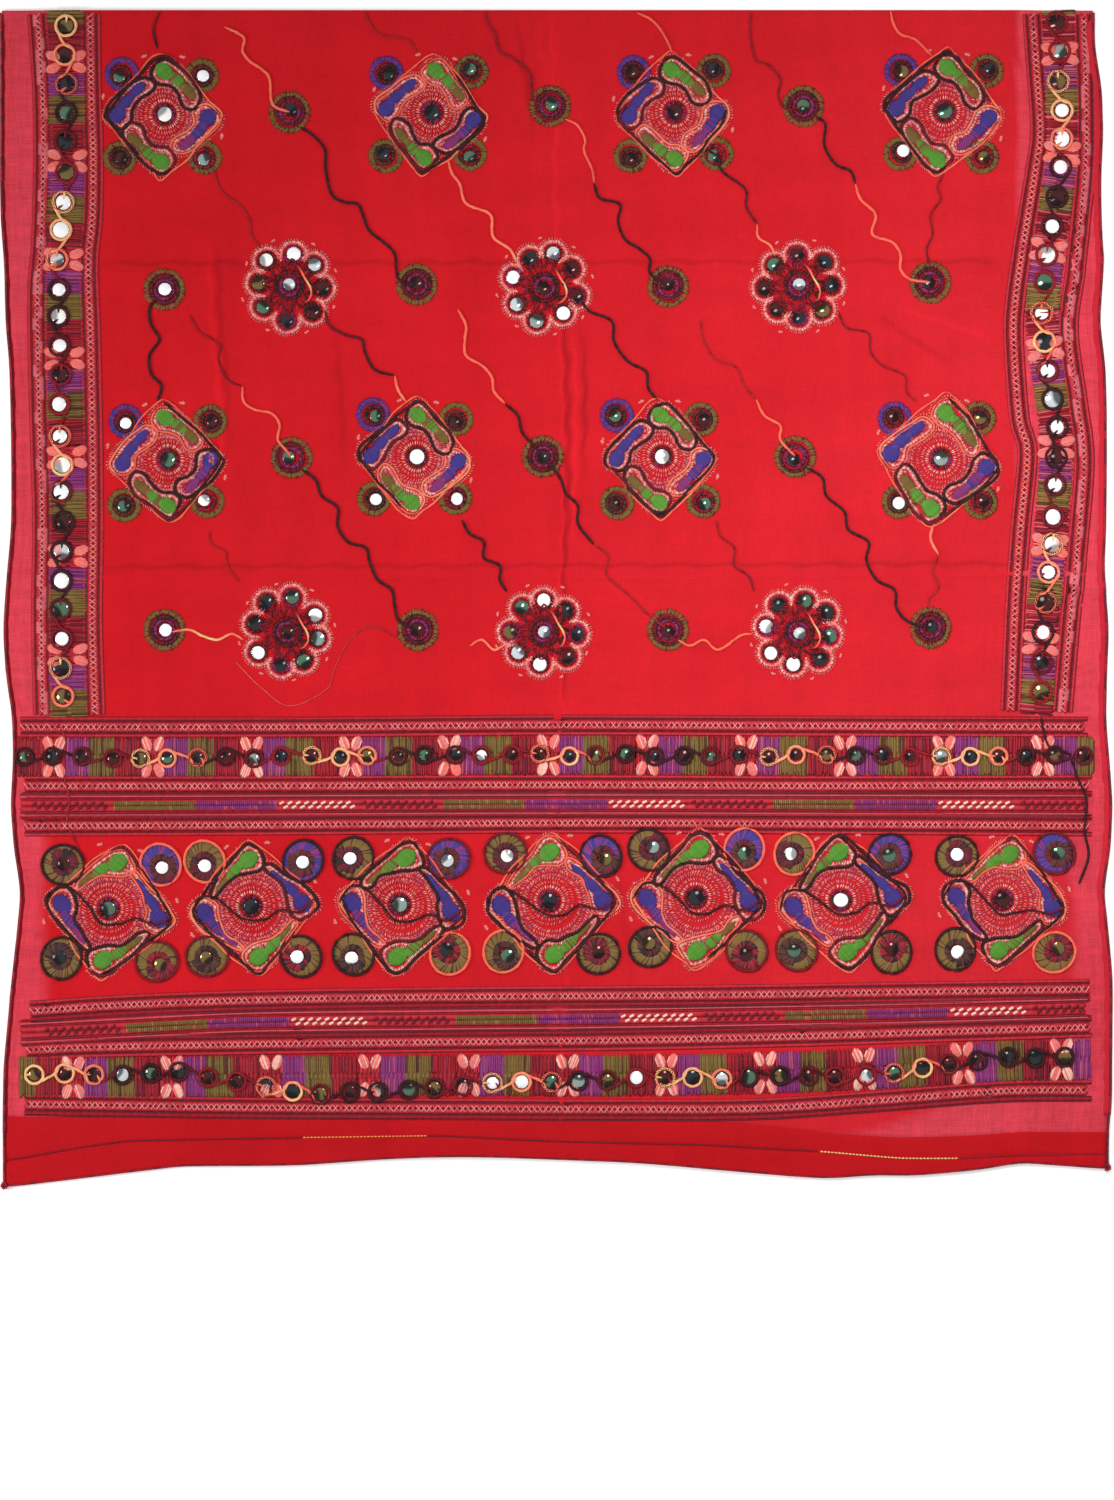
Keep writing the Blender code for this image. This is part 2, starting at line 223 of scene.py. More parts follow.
# %% Fine creases and puckers
FINE_CREASES = (
    # column_1, row_1, column_2, row_2 in photo pixels; height, half width in millimetres
    (561, 10, 563, 400, 0.9, 2.2),
    (563, 400, 559, 720, 1.1, 2.6),
    (566, 385, 568, 700, -0.6, 2.2),
    (559, 720, 561, 1120, 0.7, 2.4),
    (96, 274, 560, 275, 0.7, 2.4),
    (560, 275, 1020, 271, 0.8, 2.4),
    (96, 578, 560, 579, 0.8, 2.4),
    (560, 579, 1095, 574, 0.9, 2.4),
    (206, 240, 212, 500, 0.8, 4.0),
    (226, 250, 222, 470, 0.6, 3.5),
    (333, 340, 337, 482, 0.7, 4.0),
    (576, 330, 572, 560, 0.7, 4.0),
    (525, 20, 536, 160, 0.8, 4.0),
    (545, 22, 552, 90, 0.6, 3.0),
    (880, 322, 962, 378, 0.9, 5.0),
    (905, 318, 1010, 352, 0.7, 5.0),
    (962, 378, 1050, 392, 0.7, 6.0),
    (1052, 322, 1103, 252, 1.5, 6.0),
    (1046, 300, 1078, 238, -0.9, 5.0),
    (1046, 600, 1104, 585, 1.4, 6.0),
    (1050, 612, 1098, 604, -0.7, 5.0),
    (1072, 868, 1104, 912, 1.3, 6.0),
    (1078, 900, 1098, 960, -0.7, 6.0),
    (14, 668, 48, 656, 1.3, 5.0),
    (12, 676, 40, 672, -0.6, 4.0),
    (30, 820, 78, 836, 0.8, 6.0),
    (20, 1000, 74, 1012, 0.8, 7.0),
    (430, 730, 470, 980, 0.5, 9.0),
    (790, 990, 830, 1118, 0.8, 7.0),
    (300, 1040, 330, 1118, 0.7, 8.0),
    (596, 1046, 606, 1118, 0.6, 7.0),
    (960, 1052, 1012, 1130, 0.8, 7.0),
    (142, 30, 152, 260, 0.5, 8.0),
    (380, 40, 372, 230, 0.5, 9.0),
    (850, 20, 858, 240, 0.5, 9.0),
    (1000, 400, 992, 560, 0.6, 8.0),
    (745, 600, 752, 712, 0.5, 8.0),
    (250, 590, 244, 712, 0.5, 8.0),
)
CREASE_LIFT, CREASE_PINCH = 1.5, 0.8
HAND_WAVES = (
    # wavelength across, wavelength down, phase, height in millimetres
    (83, 151, 0.9, 0.22),
    (61, 97, 2.7, 0.16),
    (37, 53, 4.4, 0.08),
)


def crease_relief(across, down):
    relief = np.zeros(np.broadcast(across, down).shape)
    for column_1, row_1, column_2, row_2, height, half_width in FINE_CREASES:
        x1, y1 = from_photo(column_1, row_1)
        x2, y2 = from_photo(column_2, row_2)
        length = math.hypot(x2 - x1, y2 - y1)
        run_x, run_y = (x2 - x1) / length, (y2 - y1) / length
        along = (across - x1) * run_x + (down - y1) * run_y
        wander = 0.9 * np.sin(along / 23.0 + x1) + 0.5 * np.sin(along / 9.0 + y1)
        aside = (across - x1) * run_y - (down - y1) * run_x + wander
        past_end = np.maximum(np.maximum(-along, along - length), 0) / 3.0
        reach = np.hypot(aside, past_end) / (half_width * CREASE_PINCH)
        uneven = 0.75 + 0.25 * np.sin(along / 31.0 + y1)
        relief += CREASE_LIFT * height * uneven * np.exp(-reach * reach)
    return relief


def hand_waves(across, down):
    relief = np.zeros(np.broadcast(across, down).shape)
    for length_across, length_down, phase, height in HAND_WAVES:
        turn = 2 * math.pi * (across / length_across + 0.3 * down / length_down)
        relief += height * np.sin(turn + phase) * np.cos(2 * math.pi * down / length_down - phase)
    return relief


grid_across, grid_down = np.meshgrid(GRID_ACROSS, GRID_DOWN)
from_fold = np.clip((grid_down - 12) / 25, 0, 1)
SURFACE = LEVEL + from_fold * (crease_relief(grid_across, grid_down) + hand_waves(grid_across, grid_down))


def lookup(table, across, down):
    """Value of a height table between its grid points."""
    column = np.clip((np.asarray(across) - GRID_ACROSS[0]) / STEP, 0, len(GRID_ACROSS) - 1.001)
    row = np.clip((np.asarray(down) - GRID_DOWN[0]) / STEP, 0, len(GRID_DOWN) - 1.001)
    left, top = column.astype(int), row.astype(int)
    share_x, share_y = column - left, row - top
    upper = table[top, left] * (1 - share_x) + table[top, left + 1] * share_x
    lower = table[top + 1, left] * (1 - share_x) + table[top + 1, left + 1] * share_x
    return upper * (1 - share_y) + lower * share_y


TOP_SINK = 0.35               # the thin cloth lies this far under the thick solid's top


def cloth_top(across, down):
    return lookup(SURFACE, across, down) - TOP_SINK


print(f"relief added: {np.abs(SURFACE - LEVEL).max():.2f} mm at most")

# %% [markdown]
# ## Materials as sums
# A shader is a formula over the surface. Typing it as a formula is easier to read than wiring nodes, so
# one small class wraps a socket and overloads the operators that are used. Any other node comes from one
# method.


# %% Shader formulas
class Socket:
    """A number, vector or colour in a node tree; arithmetic on it adds Math nodes."""

    def __init__(self, tree, socket):
        self.tree, self.socket = tree, socket

    def node(self, kind, settings=None, output=0, **sockets):
        made = self.tree.nodes.new(kind)
        for name, value in (settings or {}).items():
            if name == "stops":
                set_stops(made.color_ramp, value)
            else:
                setattr(made, name, value)
        for name, value in sockets.items():
            numbered = name[0] == "i" and name[1:].isdigit()
            slot = made.inputs[int(name[1:]) if numbered else name]
            if isinstance(value, Socket):
                self.tree.links.new(value.socket, slot)
            else:
                slot.default_value = value
        return Socket(self.tree, made.outputs[output])

    def math(self, operation, first, second=0.0):
        return self.node("ShaderNodeMath", {"operation": operation}, i0=first, i1=second)

    def __add__(self, other):
        return self.math("ADD", self, other)

    __radd__ = __add__

    def __sub__(self, other):
        return self.math("SUBTRACT", self, other)

    def __rsub__(self, other):
        return self.math("SUBTRACT", other, self)

    def __mul__(self, other):
        return self.math("MULTIPLY", self, other)

    __rmul__ = __mul__

    def sine(self):
        return self.math("SINE", self)

    def floor(self):
        return self.math("FLOOR", self)

    def fraction(self):
        return self.math("FRACT", self)

    def mix(self, first, second):
        """First colour where this is 0, second where it is 1."""
        return self.node("ShaderNodeMix", {"data_type": "RGBA"}, output=2, i0=self, i6=first, i7=second)

    def scaled(self, factor):
        """This colour times a number that varies."""
        return self.node("ShaderNodeVectorMath", {"operation": "SCALE"}, i0=self, i3=factor)

    def parts(self):
        return [self.node("ShaderNodeSeparateXYZ", output=axis, i0=self) for axis in range(3)]

    def dot(self, way):
        """How far this place lies along a direction in the cloth."""
        settings = {"operation": "DOT_PRODUCT"}
        direction = (*map(float, way), 0.0)
        return self.node("ShaderNodeVectorMath", settings, output=1, i0=self, i1=direction)

    def noise(self, scale, stretch=(1, 1, 1), detail=2.0):
        moved = self.node("ShaderNodeMapping", None, i0=self, i3=stretch)
        return self.node("ShaderNodeTexNoise", None, Vector=moved, Scale=scale, Detail=detail)


def set_stops(ramp, stops):
    ramp.interpolation, rows = stops
    while len(ramp.elements) > 1:
        ramp.elements.remove(ramp.elements[-1])
    for index, (place, colour) in enumerate(rows):
        element = ramp.elements[0] if index == 0 else ramp.elements.new(place)
        element.position = place
        element.color = colour


def linear(red, green, blue):
    """A display colour, 0 to 255, as linear light."""
    shares = [value / 255 for value in (red, green, blue)]
    return (*[c / 12.92 if c <= 0.04045 else ((c + 0.055) / 1.055) ** 2.4 for c in shares], 1.0)


class Finish:
    """A Principled material and a way into its formulas."""

    def __init__(self, name, **constants):
        self.material = bpy.data.materials.new(name)
        self.material.use_nodes = True
        self.tree = self.material.node_tree
        self.shader = self.tree.nodes["Principled BSDF"]
        for socket, value in constants.items():
            self.shader.inputs[socket.replace("_", " ")].default_value = value

    def place(self, uv_map=None):
        """Object coordinates in metres, or the piece's own UV map."""
        start = Socket(self.tree, None)
        if uv_map:
            return start.node("ShaderNodeUVMap", {"uv_map": uv_map})
        return start.node("ShaderNodeTexCoord", None, output=3)

    def attribute(self, name):
        return Socket(self.tree, None).node("ShaderNodeAttribute", {"attribute_name": name}, output=2)

    def feed(self, socket, value):
        self.tree.links.new(value.socket, self.shader.inputs[socket])

    def bump(self, height, strength, distance):
        bumped = height.node("ShaderNodeBump", None, Height=height, Strength=strength, Distance=distance)
        self.feed("Normal", bumped)


# %% [markdown]
# ## The red cotton
# The cloth is so thin that it shows pink where it lies alone and deep red where the hidden half lies
# under it. Real light would pass through it, but an alpha channel makes a cloth look like gauze from the
# side and is slow, so the change is painted: each point of the cloth knows how far it lies outside the
# hidden half, and the shader mixes the two reds by it. Slubs, the thick places in hand-spun thread, are
# noise that is stretched along each thread's way. They show most where the cloth lies alone.

# %% Cotton finish
DOUBLE_RED, DOUBLE_DEEP = linear(196, 21, 31), linear(182, 12, 22)
SINGLE_PINK, SINGLE_DEEP = linear(203, 66, 81), linear(196, 44, 58)
HEM_RED, HEM_DEEP = linear(184, 17, 27), linear(170, 10, 19)
THREAD_GRAIN = 1300.0         # slubs to a metre, across the thread
SLUB_STRETCH = 0.05           # how much slower they change along it
WEAVE_TURNS = 5200.0          # radians to a metre: a thread every 1.2 mm
PRESS_LINES = (
    # column_1, row_1, column_2, row_2 in photo pixels; half width in millimetres; height
    (561, 10, 561, 1125, 2.4, 1.0),
    (567, 300, 564, 725, 2.4, -1.5),
    (576, 325, 571, 560, 2.8, 1.3),
    (586, 335, 581, 500, 2.8, -1.7),
    (85, 274, 1020, 272, 2.4, -1.2),
    (85, 578, 1095, 575, 2.4, -1.2),
    (207, 240, 213, 500, 3.4, 1.1),
    (216, 250, 221, 470, 3.2, -1.1),
    (333, 335, 338, 490, 3.4, -1.0),
    (525, 20, 540, 165, 3.0, -1.4),
    (545, 20, 553, 100, 2.8, 1.1),
    (880, 322, 965, 380, 3.4, -1.4),
    (900, 316, 1010, 352, 3.4, 1.2),
    (600, 740, 640, 1120, 4.5, -0.7),
)


def press_lines(place):
    """Sum of the sharp press lines: each is a bell across its own line and fades out at both of its ends."""
    across, down, _ = place.parts()
    wander = (across * 130.0 + down * 170.0).sine() * 0.0012
    moved = place.node("ShaderNodeVectorMath", {"operation": "ADD"}, i0=place, i1=wander)
    total = 0.0
    for column_1, row_1, column_2, row_2, half_width, height in PRESS_LINES:
        start, end = (np.array(from_photo(*spot)) * MM for spot in ((column_1, row_1), (column_2, row_2)))
        run = end - start
        length = float(np.hypot(*run))
        way = run / length**2
        normal = np.array([run[1], -run[0]]) / (length * half_width * MM)
        along = place.dot(way) - float(start @ way)
        reach = moved.dot(normal) - float(start @ normal)
        hill = along * (1.0 - along)
        clamped = {"operation": "MULTIPLY", "use_clamp": True}
        fade = hill.node("ShaderNodeMath", clamped, i0=hill, i1=length * 30.0)
        bell_height = reach.math("POWER", 1 / math.e, reach * reach)
        added = {"operation": "MULTIPLY_ADD"}
        total = reach.node("ShaderNodeMath", added, i0=bell_height * fade, i1=height, i2=total)
    return total


def cotton(name, light, deep, single=None, single_deep=None):
    finish = Finish(name, Roughness=0.88, Specular_IOR_Level=0.12)
    place = finish.place("Cloth")
    pressed = press_lines(place) if single else 0.0
    warp = place.noise(THREAD_GRAIN, (1.0, SLUB_STRETCH, 1.0))
    weft = place.noise(THREAD_GRAIN, (SLUB_STRETCH, 1.0, 1.0))
    dye = place.noise(6.0, detail=4.0)
    wrinkles = place.noise(34.0, (1.0, 0.16, 1.0)) + place.noise(30.0, (0.2, 1.0, 1.0))
    threads = warp + weft - 1.0
    colour = dye.mix(deep, light)
    # Wrinkles and press lines also scale the colour: painted shade in their hollows and painted light on
    # their ridges; the slubs are the thread's own tone.
    slubs_and_painted_shade = 1.0 + threads * 0.30 + (wrinkles - 1.0) * 0.22 + pressed * 0.15
    if single:
        alone = finish.attribute("alone")
        streaks = place.noise(240.0, (1.0, 0.03, 1.0)) + place.noise(110.0, (0.08, 1.0, 1.0)) - 1.0
        colour = alone.mix(colour, dye.mix(single_deep, single))
        slubs_and_painted_shade = slubs_and_painted_shade + (threads * 0.40 + streaks * 0.36) * alone
    finish.feed("Base Color", colour.scaled(slubs_and_painted_shade))
    across, down, _ = place.parts()
    weave = (across * WEAVE_TURNS).sine() * (down * WEAVE_TURNS).sine()
    finish.bump(weave * 0.5 + threads * 1.5 + wrinkles * 7.0 + pressed * 3.5, 0.5, 0.0003)
    return finish.material


field_cloth = cotton("field_cloth", DOUBLE_RED, DOUBLE_DEEP, SINGLE_PINK, SINGLE_DEEP)
hidden_cloth = cotton("hidden_cloth", linear(185, 18, 28), linear(170, 10, 20))
hem_cloth = cotton("hem_cloth", HEM_RED, HEM_DEEP)
# Both rolls are one cloth, deeper red for its layers; the left copy is darker as painted shade, the right
# copy paler as painted light.
shaded_rolled_cloth = cotton("shaded_rolled_cloth", linear(140, 12, 24), linear(108, 8, 18))
lit_rolled_cloth = cotton("lit_rolled_cloth", linear(196, 38, 54), linear(168, 24, 38))
print("finishes:", [material.name for material in (field_cloth, hidden_cloth, hem_cloth)])

# %% [markdown]
# ## A sheet of cloth
# A sheet is a grid of points with known places on the flat cloth. Those flat places become a UV map, so
# the weave follows the cloth round the fold and along the wavy edges. The grid is made by mesh code, and
# the Solidify modifier gives it the thickness of the real cotton.


# %% Make a sheet
def make_piece(name, vertices, faces, material):
    """A new object in the frame's own metres, riding with the cloth."""
    mesh = bpy.data.meshes.new(name)
    mesh.from_pydata([tuple(point) for point in vertices], [], faces)
    mesh.materials.append(material)
    mesh.shade_smooth()
    piece = bpy.data.objects.new(name, mesh)
    bpy.context.scene.collection.objects.link(piece)
    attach(piece, "root")
    return piece


def uv_layer(mesh, name, points):
    """A UV map from one place for each vertex."""
    corners = np.empty(len(mesh.loops), dtype=np.int32)
    mesh.loops.foreach_get("vertex_index", corners)
    layer = mesh.uv_layers.new(name=name)
    layer.data.foreach_set("uv", np.asarray(points, dtype=np.float32)[corners].ravel())


def make_sheet(name, points, flat, material, thickness, alone=None):
    """A grid of cloth: points and flat are arrays of rows by columns."""
    rows, columns = points.shape[:2]
    index = np.arange(rows * columns).reshape(rows, columns)
    faces = np.stack([index[:-1, :-1], index[1:, :-1], index[1:, 1:], index[:-1, 1:]], axis=-1)
    piece = make_piece(name, points.reshape(-1, 3), faces.reshape(-1, 4).tolist(), material)
    uv_layer(piece.data, "Cloth", flat.reshape(-1, 2) * MM)
    if alone is not None:
        attribute = piece.data.attributes.new("alone", "FLOAT", "POINT")
        attribute.data.foreach_set("value", alone.ravel().astype(np.float32))
    wall = piece.modifiers.new("wall", "SOLIDIFY")
    wall.thickness = thickness * MM
    wall.offset = -1
    finish_modifiers(piece)
    return piece


def finish_modifiers(piece):
    bpy.ops.object.select_all(action="DESELECT")
    bpy.context.view_layer.objects.active = piece
    piece.select_set(True)
    for modifier in list(piece.modifiers):
        bpy.ops.object.modifier_apply(modifier=modifier.name)
    piece.select_set(False)


def triangles(piece):
    return sum(len(face.vertices) - 2 for face in piece.data.polygons)


# %% [markdown]
# ## The half that shows
# Columns of the grid follow the waving sides and rows follow the hem line, closer together at the press
# creases, which are sharp. At the fold the rows go over the edge in a half circle and back under for a
# few millimetres, as the solid does. "alone" is 0 over the hidden half and 1 where the cloth lies by
# itself.


# %% Upper cloth
def stations(stop, pitch, creases):
    """Places from 0 to stop at a pitch, with close ones at each crease."""
    places = list(np.linspace(0, stop, int(stop / pitch) + 1))
    for crease in creases:
        places = [place for place in places if abs(place - crease) > 7.5]
        places += [crease + offset for offset in (-6.5, -4.2, -2.8, -1.4, 0.0, 1.4, 2.8, 4.2, 6.5)]
    return np.array(sorted(places))


def soft_step(value):
    share = np.clip(value, 0, 1)
    return share * share * (3 - 2 * share)


SEAM_TUCK = 2.0               # how far the cloth runs under the hems
FOLD_EDGE = 2.6               # where the turn at the fold begins, from the solid's edge
BACK_EDGE = 9.0               # how far the cloth runs back beneath it
CENTRE_FOLD = from_photo(562, 0)[0]
CROSS_FOLDS = [from_photo(0, row)[1] for row in (274, 578)]
column_shares = stations(WIDTH, 6.4, [CENTRE_FOLD]) / WIDTH
row_shares = stations(HALF_LENGTH, 6.6, CROSS_FOLDS) / HALF_LENGTH


def alone_at(across, down):
    """0 on the hidden half, 1 beside it; towards the lower right more of the painted show-through pink is
    mixed in everywhere, so the cloth shows paler.
    """
    wobble = 1.5 * np.sin(down / 37.0) + 1.0 * np.sin(down / 13.0 + across / 50)
    beside = np.maximum(under_left(down) - 4.0 - across, across - under_right(down))
    below = down - under_end(across)
    paler_towards_right = 0.34 * (across / WIDTH) ** 2 * (0.45 + 0.55 * down / HALF_LENGTH)
    blur = 5.0 + 12.0 * soft_step((down - 560.0) / 160.0)
    return np.maximum(paler_towards_right, soft_step((np.maximum(beside, below) + wobble + blur / 5.0) / blur))


def make_cloth_upper():
    fold_turn = np.linspace(math.pi, 0, 9)[:-1]
    downs = np.unique(np.maximum(row_shares * HALF_LENGTH, FOLD_EDGE))
    length = hem_line(column_shares * WIDTH) + SEAM_TUCK
    slide = soft_step((downs - 700) / (HALF_LENGTH - 700))
    down = downs[:, None] + slide[:, None] * (length - HALF_LENGTH)[None, :]
    left, right = left_edge(down) + SEAM_TUCK, right_edge(down) - SEAM_TUCK
    across = left + (right - left) * column_shares[None, :]
    height = cloth_top(across, down)
    radius = height[0] / 2
    turn_down = FOLD_EDGE - radius * np.sin(fold_turn)[:, None]
    turn_height = radius + radius * np.cos(fold_turn)[:, None]
    back_down = np.linspace(BACK_EDGE, FOLD_EDGE, 3)[:-1, None] + 0 * radius
    all_down = np.concatenate([back_down, turn_down, down])
    all_across = np.concatenate([np.repeat(across[:1], len(all_down) - len(down), axis=0), across])
    all_height = np.concatenate([0 * back_down + 0.02, np.maximum(turn_height, 0.02), height])
    steps = np.hypot(np.diff(all_down, axis=0), np.diff(all_height, axis=0))
    run = np.concatenate([np.zeros((1, across.shape[1])), np.cumsum(steps, axis=0)])
    flat = np.stack([np.broadcast_to(column_shares * WIDTH, all_down.shape), run], axis=-1)
    points = world(all_across, all_down, all_height)
    return make_sheet(
        "cloth_upper", points, flat, field_cloth, CLOTH_THICKNESS, alone_at(all_across, all_down),
    )


cloth_upper = make_cloth_upper()
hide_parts("upper_half")
print("cloth_upper:", triangles(cloth_upper), "triangles")

# %% [markdown]
# ## The hidden half
# Only its edges can be seen, from low down. The cloth's sides are turned in beneath it, so its section is
# a flat letter C, and a grid of wide meshes is fine enough.


# %% Hidden cloth
def make_cloth_under():
    top_height, turned_height, edge_radius = 1.75, 0.12, 0.8
    downs = np.linspace(9.6, under_end(WIDTH / 2) - 1.0, 54)
    sections = []
    for down in downs:
        left, right = under_left(down), under_right(down)
        turned_left, turned_right = left + 50, right - 90
        top = [(across, top_height) for across in np.linspace(left + edge_radius, right - edge_radius, 60)]
        left_turn = [
            (left + edge_radius * (1 - math.sin(angle)), 0.93 + edge_radius * math.cos(angle))
            for angle in np.linspace(math.pi, 0, 6)
        ]
        right_turn = [(left + right - across, height) for across, height in left_turn][::-1]
        under_left_strip = [(across, turned_height) for across in np.linspace(turned_left, left + 4, 4)]
        under_right_strip = [(across, turned_height) for across in np.linspace(right - 4, turned_right, 6)]
        section = under_left_strip + left_turn + top[1:-1] + right_turn + under_right_strip
        sections.append([
            (across, min(down, under_end(across) - 0.5), height) for across, height in section
        ])
    grid = np.array(sections)
    runs = np.hypot(np.diff(grid[..., 0], axis=1), np.diff(grid[..., 2], axis=1))
    along = np.concatenate([np.zeros((len(grid), 1)), np.cumsum(runs, axis=1)], axis=1)
    flat = np.stack([along, grid[..., 1]], axis=-1)
    points = world(grid[..., 0], grid[..., 1], grid[..., 2])
    return make_sheet("cloth_under", points, flat, hidden_cloth, 0.1)


cloth_under = make_cloth_under()
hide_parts("under_half")
print("cloth_under:", triangles(cloth_under), "triangles")

# %% [markdown]
# ## The hems
# The end hem is cloth turned under and stitched, so it is one strip that runs out from its seam, round
# the lower edge and back beneath. Its stitching draws the cloth into small puckers. The side hems are
# rolled between finger and thumb and are never quite even: a tube round each edge that swells and twists
# a little.


# %% End hem
HEM_STACK = 2.0               # height of the turned cloth, outside to outside
STITCH_LINE = (
    # column, row in photo pixels
    (4, 1160), (20, 1158), (80, 1147), (130, 1140), (200, 1139), (300, 1137), (440, 1135), (560, 1141),
    (700, 1144), (820, 1151), (900, 1158), (960, 1158), (1000, 1155), (1050, 1154), (1110, 1153),
)
stitch_across, stitch_down = from_photo(*np.array(STITCH_LINE).T)
stitch_line = Line(stitch_across, stitch_down, WIDTH)


def hem_relief(across, down):
    """Puckers beside the machine stitches, and a slow lift and fall of the turned cloth."""
    aside = (down - stitch_line(across)) / 7.0
    pucker = 0.30 * np.sin(across / 2.1 + 1.4 * np.sin(across / 17.0)) * np.sin(across / 29.0 + 1.0) ** 2
    sunk = -0.45 * np.exp(-((aside * 3.0) ** 2))
    slow = 0.35 * np.sin(across / 19.0 + down / 23.0) * np.exp(-aside * aside)
    return pucker * np.exp(-aside * aside) + sunk + slow


def make_hem_end():
    shares = column_shares
    top, edge = hem_line(shares * WIDTH) - 1.0, lower_edge(shares * WIDTH) - 0.2
    radius = HEM_STACK / 2
    rows = [(top + (edge - radius - top) * share, 0.0) for share in np.linspace(0, 1, 15)[:-1]]
    for angle in np.linspace(0, math.pi, 7):
        rows.append((edge - radius + radius * math.sin(angle), -radius * (1 - math.cos(angle))))
    rows += [(top + (edge - radius - top) * share, -HEM_STACK) for share in (0.8, 0.5, 0.2)]
    down = np.stack([row_down for row_down, _ in rows])
    drop = np.stack([np.full(len(shares), row_drop) for _, row_drop in rows])
    left, right = left_edge(down) + 0.3, right_edge(down) - 0.3
    across = left + (right - left) * shares[None, :]
    lift = soft_step((down - top[None, :]) / 3.0) * 0.25
    height = cloth_top(across, np.minimum(down, edge[None, :] - 3)) + lift + drop
    height += np.where(drop > -0.1, hem_relief(across, down), 0)
    height = np.maximum(height, 0.48)
    steps = np.hypot(np.diff(down, axis=0), np.diff(height, axis=0))
    run = np.concatenate([np.zeros((1, len(shares))), np.cumsum(steps, axis=0)]) + top[None, :]
    flat = np.stack([np.broadcast_to(shares * WIDTH, down.shape), run], axis=-1)
    return make_sheet("hem_end", world(across, down, height), flat, hem_cloth, CLOTH_THICKNESS)


hem_end = make_hem_end()
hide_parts("end_hem")
print("hem_end:", triangles(hem_end), "triangles")


# %% Rolled side hems
def make_rolled_hem(name, edge, width, height, inward, phase, cloth):
    sides = 12
    downs = np.linspace(3.0, lower_edge(edge(HALF_LENGTH)) - 52, 260)
    turn = np.linspace(0, 2 * math.pi, sides, endpoint=False)
    swell = 1 + 0.10 * np.sin(downs / 5.1 + phase) * np.sin(downs / 37.0)
    swell = swell + 0.05 * np.sin(downs / 2.3 + phase)
    taper = np.clip(downs / 14.0, 0.35, 1)
    half_width = width / 2 * swell * taper
    middle = edge(downs) + inward * half_width
    ground = np.maximum(cloth_top(middle, downs) - 1.1, 0.02)
    across = middle[:, None] + half_width[:, None] * np.cos(turn)
    flattened = np.sign(np.sin(turn)) * np.abs(np.sin(turn)) ** 0.8
    up = ground[:, None] + height / 2 * taper[:, None] * (1 + flattened)
    groove = 0.12 * np.sin(2 * turn[None, :] + downs[:, None] / 6.0)
    points = world(across, np.repeat(downs[:, None], sides, axis=1), np.maximum(up + groove, 0.02))
    faces = []
    for ring in range(len(downs) - 1):
        for side in range(sides):
            following = (side + 1) % sides
            near, far = ring * sides, (ring + 1) * sides
            faces.append((near + side, near + following, far + following, far + side))
    faces.append(tuple(reversed(range(sides))))
    faces.append(tuple((len(downs) - 1) * sides + side for side in range(sides)))
    piece = make_piece(name, points.reshape(-1, 3), faces, cloth)
    edit = bmesh.new()
    edit.from_mesh(piece.data)
    bmesh.ops.recalc_face_normals(edit, faces=edit.faces)
    edit.to_mesh(piece.data)
    edit.free()
    flat = np.stack([np.broadcast_to(turn * width / 2, across.shape), points[..., 1] / -MM], axis=-1)
    uv_layer(piece.data, "Cloth", flat.reshape(-1, 2) * MM)
    return piece


hem_left = make_rolled_hem("hem_left", left_edge, 4.6, 2.1, 1, 0.3, shaded_rolled_cloth)
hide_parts("left_hem")
hem_right = make_rolled_hem("hem_right", right_edge, 7.6, 2.2, -1, 2.1, lit_rolled_cloth)
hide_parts("right_hem")
print("side hems:", triangles(hem_left), "and", triangles(hem_right), "triangles")

# %% [markdown]
# ## Thread
# A stitch is a short length of floss that dips into the cloth at both ends. One stitch is a slim prism
# with pointed ends, six or twelve triangles. There are tens of thousands, so all the stitches of a motif
# are worked out as arrays of start and end points, and each family of motifs becomes one joined mesh. A
# stitch's colour is a cell of a small chart: its UV map "OFBake" points into the cell, with the stitch's
# width across it.

# %% Thread colours
THREADS = {
    "black": (42, 20, 24),
    "maroon": (104, 14, 34),
    "dark_red": (150, 16, 34),
    "crimson": (176, 24, 40),
    "red": (196, 30, 44),
    "salmon": (240, 116, 104),
    "pink": (226, 128, 128),
    "pale": (244, 190, 176),
    "olive": (116, 90, 40),
    "khaki": (150, 108, 58),
    "green": (84, 142, 44),
    "purple": (130, 42, 106),
    "violet": (64, 46, 126),
    "orange": (238, 140, 76),
    "yellow": (236, 200, 120),
    "brown": (84, 42, 32),
    "mauve": (170, 70, 100),
    "rose": (206, 84, 96),
}
THREAD_INDEX = {name: index for index, name in enumerate(THREADS)}
CHART_ROWS = 16
CELL_MARGIN = 0.1


def chart_stops(colours):
    rows = [(index / len(colours), linear(*colour)) for index, colour in enumerate(colours)]
    return ("CONSTANT", rows)


def thread_finish():
    """Colour from the chart's column, lighter or darker in each of its rows, with painted shade across the
    floss: lighter along its middle, darker at its sides.
    """
    finish = Finish("thread", Roughness=0.6, Specular_IOR_Level=0.3)
    across, along, _ = finish.place("OFBake").parts()
    colour = across.node("ShaderNodeValToRGB", {"stops": chart_stops(THREADS.values())}, i0=across)
    painted_round_shade = ((across * len(THREADS)).fraction() * math.pi).sine()
    row = (along * CHART_ROWS).floor()
    tone = (row * 0.37).fraction()
    ply = (along * CHART_ROWS * math.tau * 4.0).sine()
    finish.feed("Base Color", colour.scaled(0.62 + painted_round_shade * 0.28 + tone * 0.20 + ply * 0.04))
    return finish.material


thread = thread_finish()
print(len(THREADS), "thread colours")

# %% The needle
SHARE_LONG, SHARE_SHORT = (0.14, 0.86), (0.5,)
CLEARANCE = 0.35              # the sheet's grid is coarser than its height map, so thread starts above it


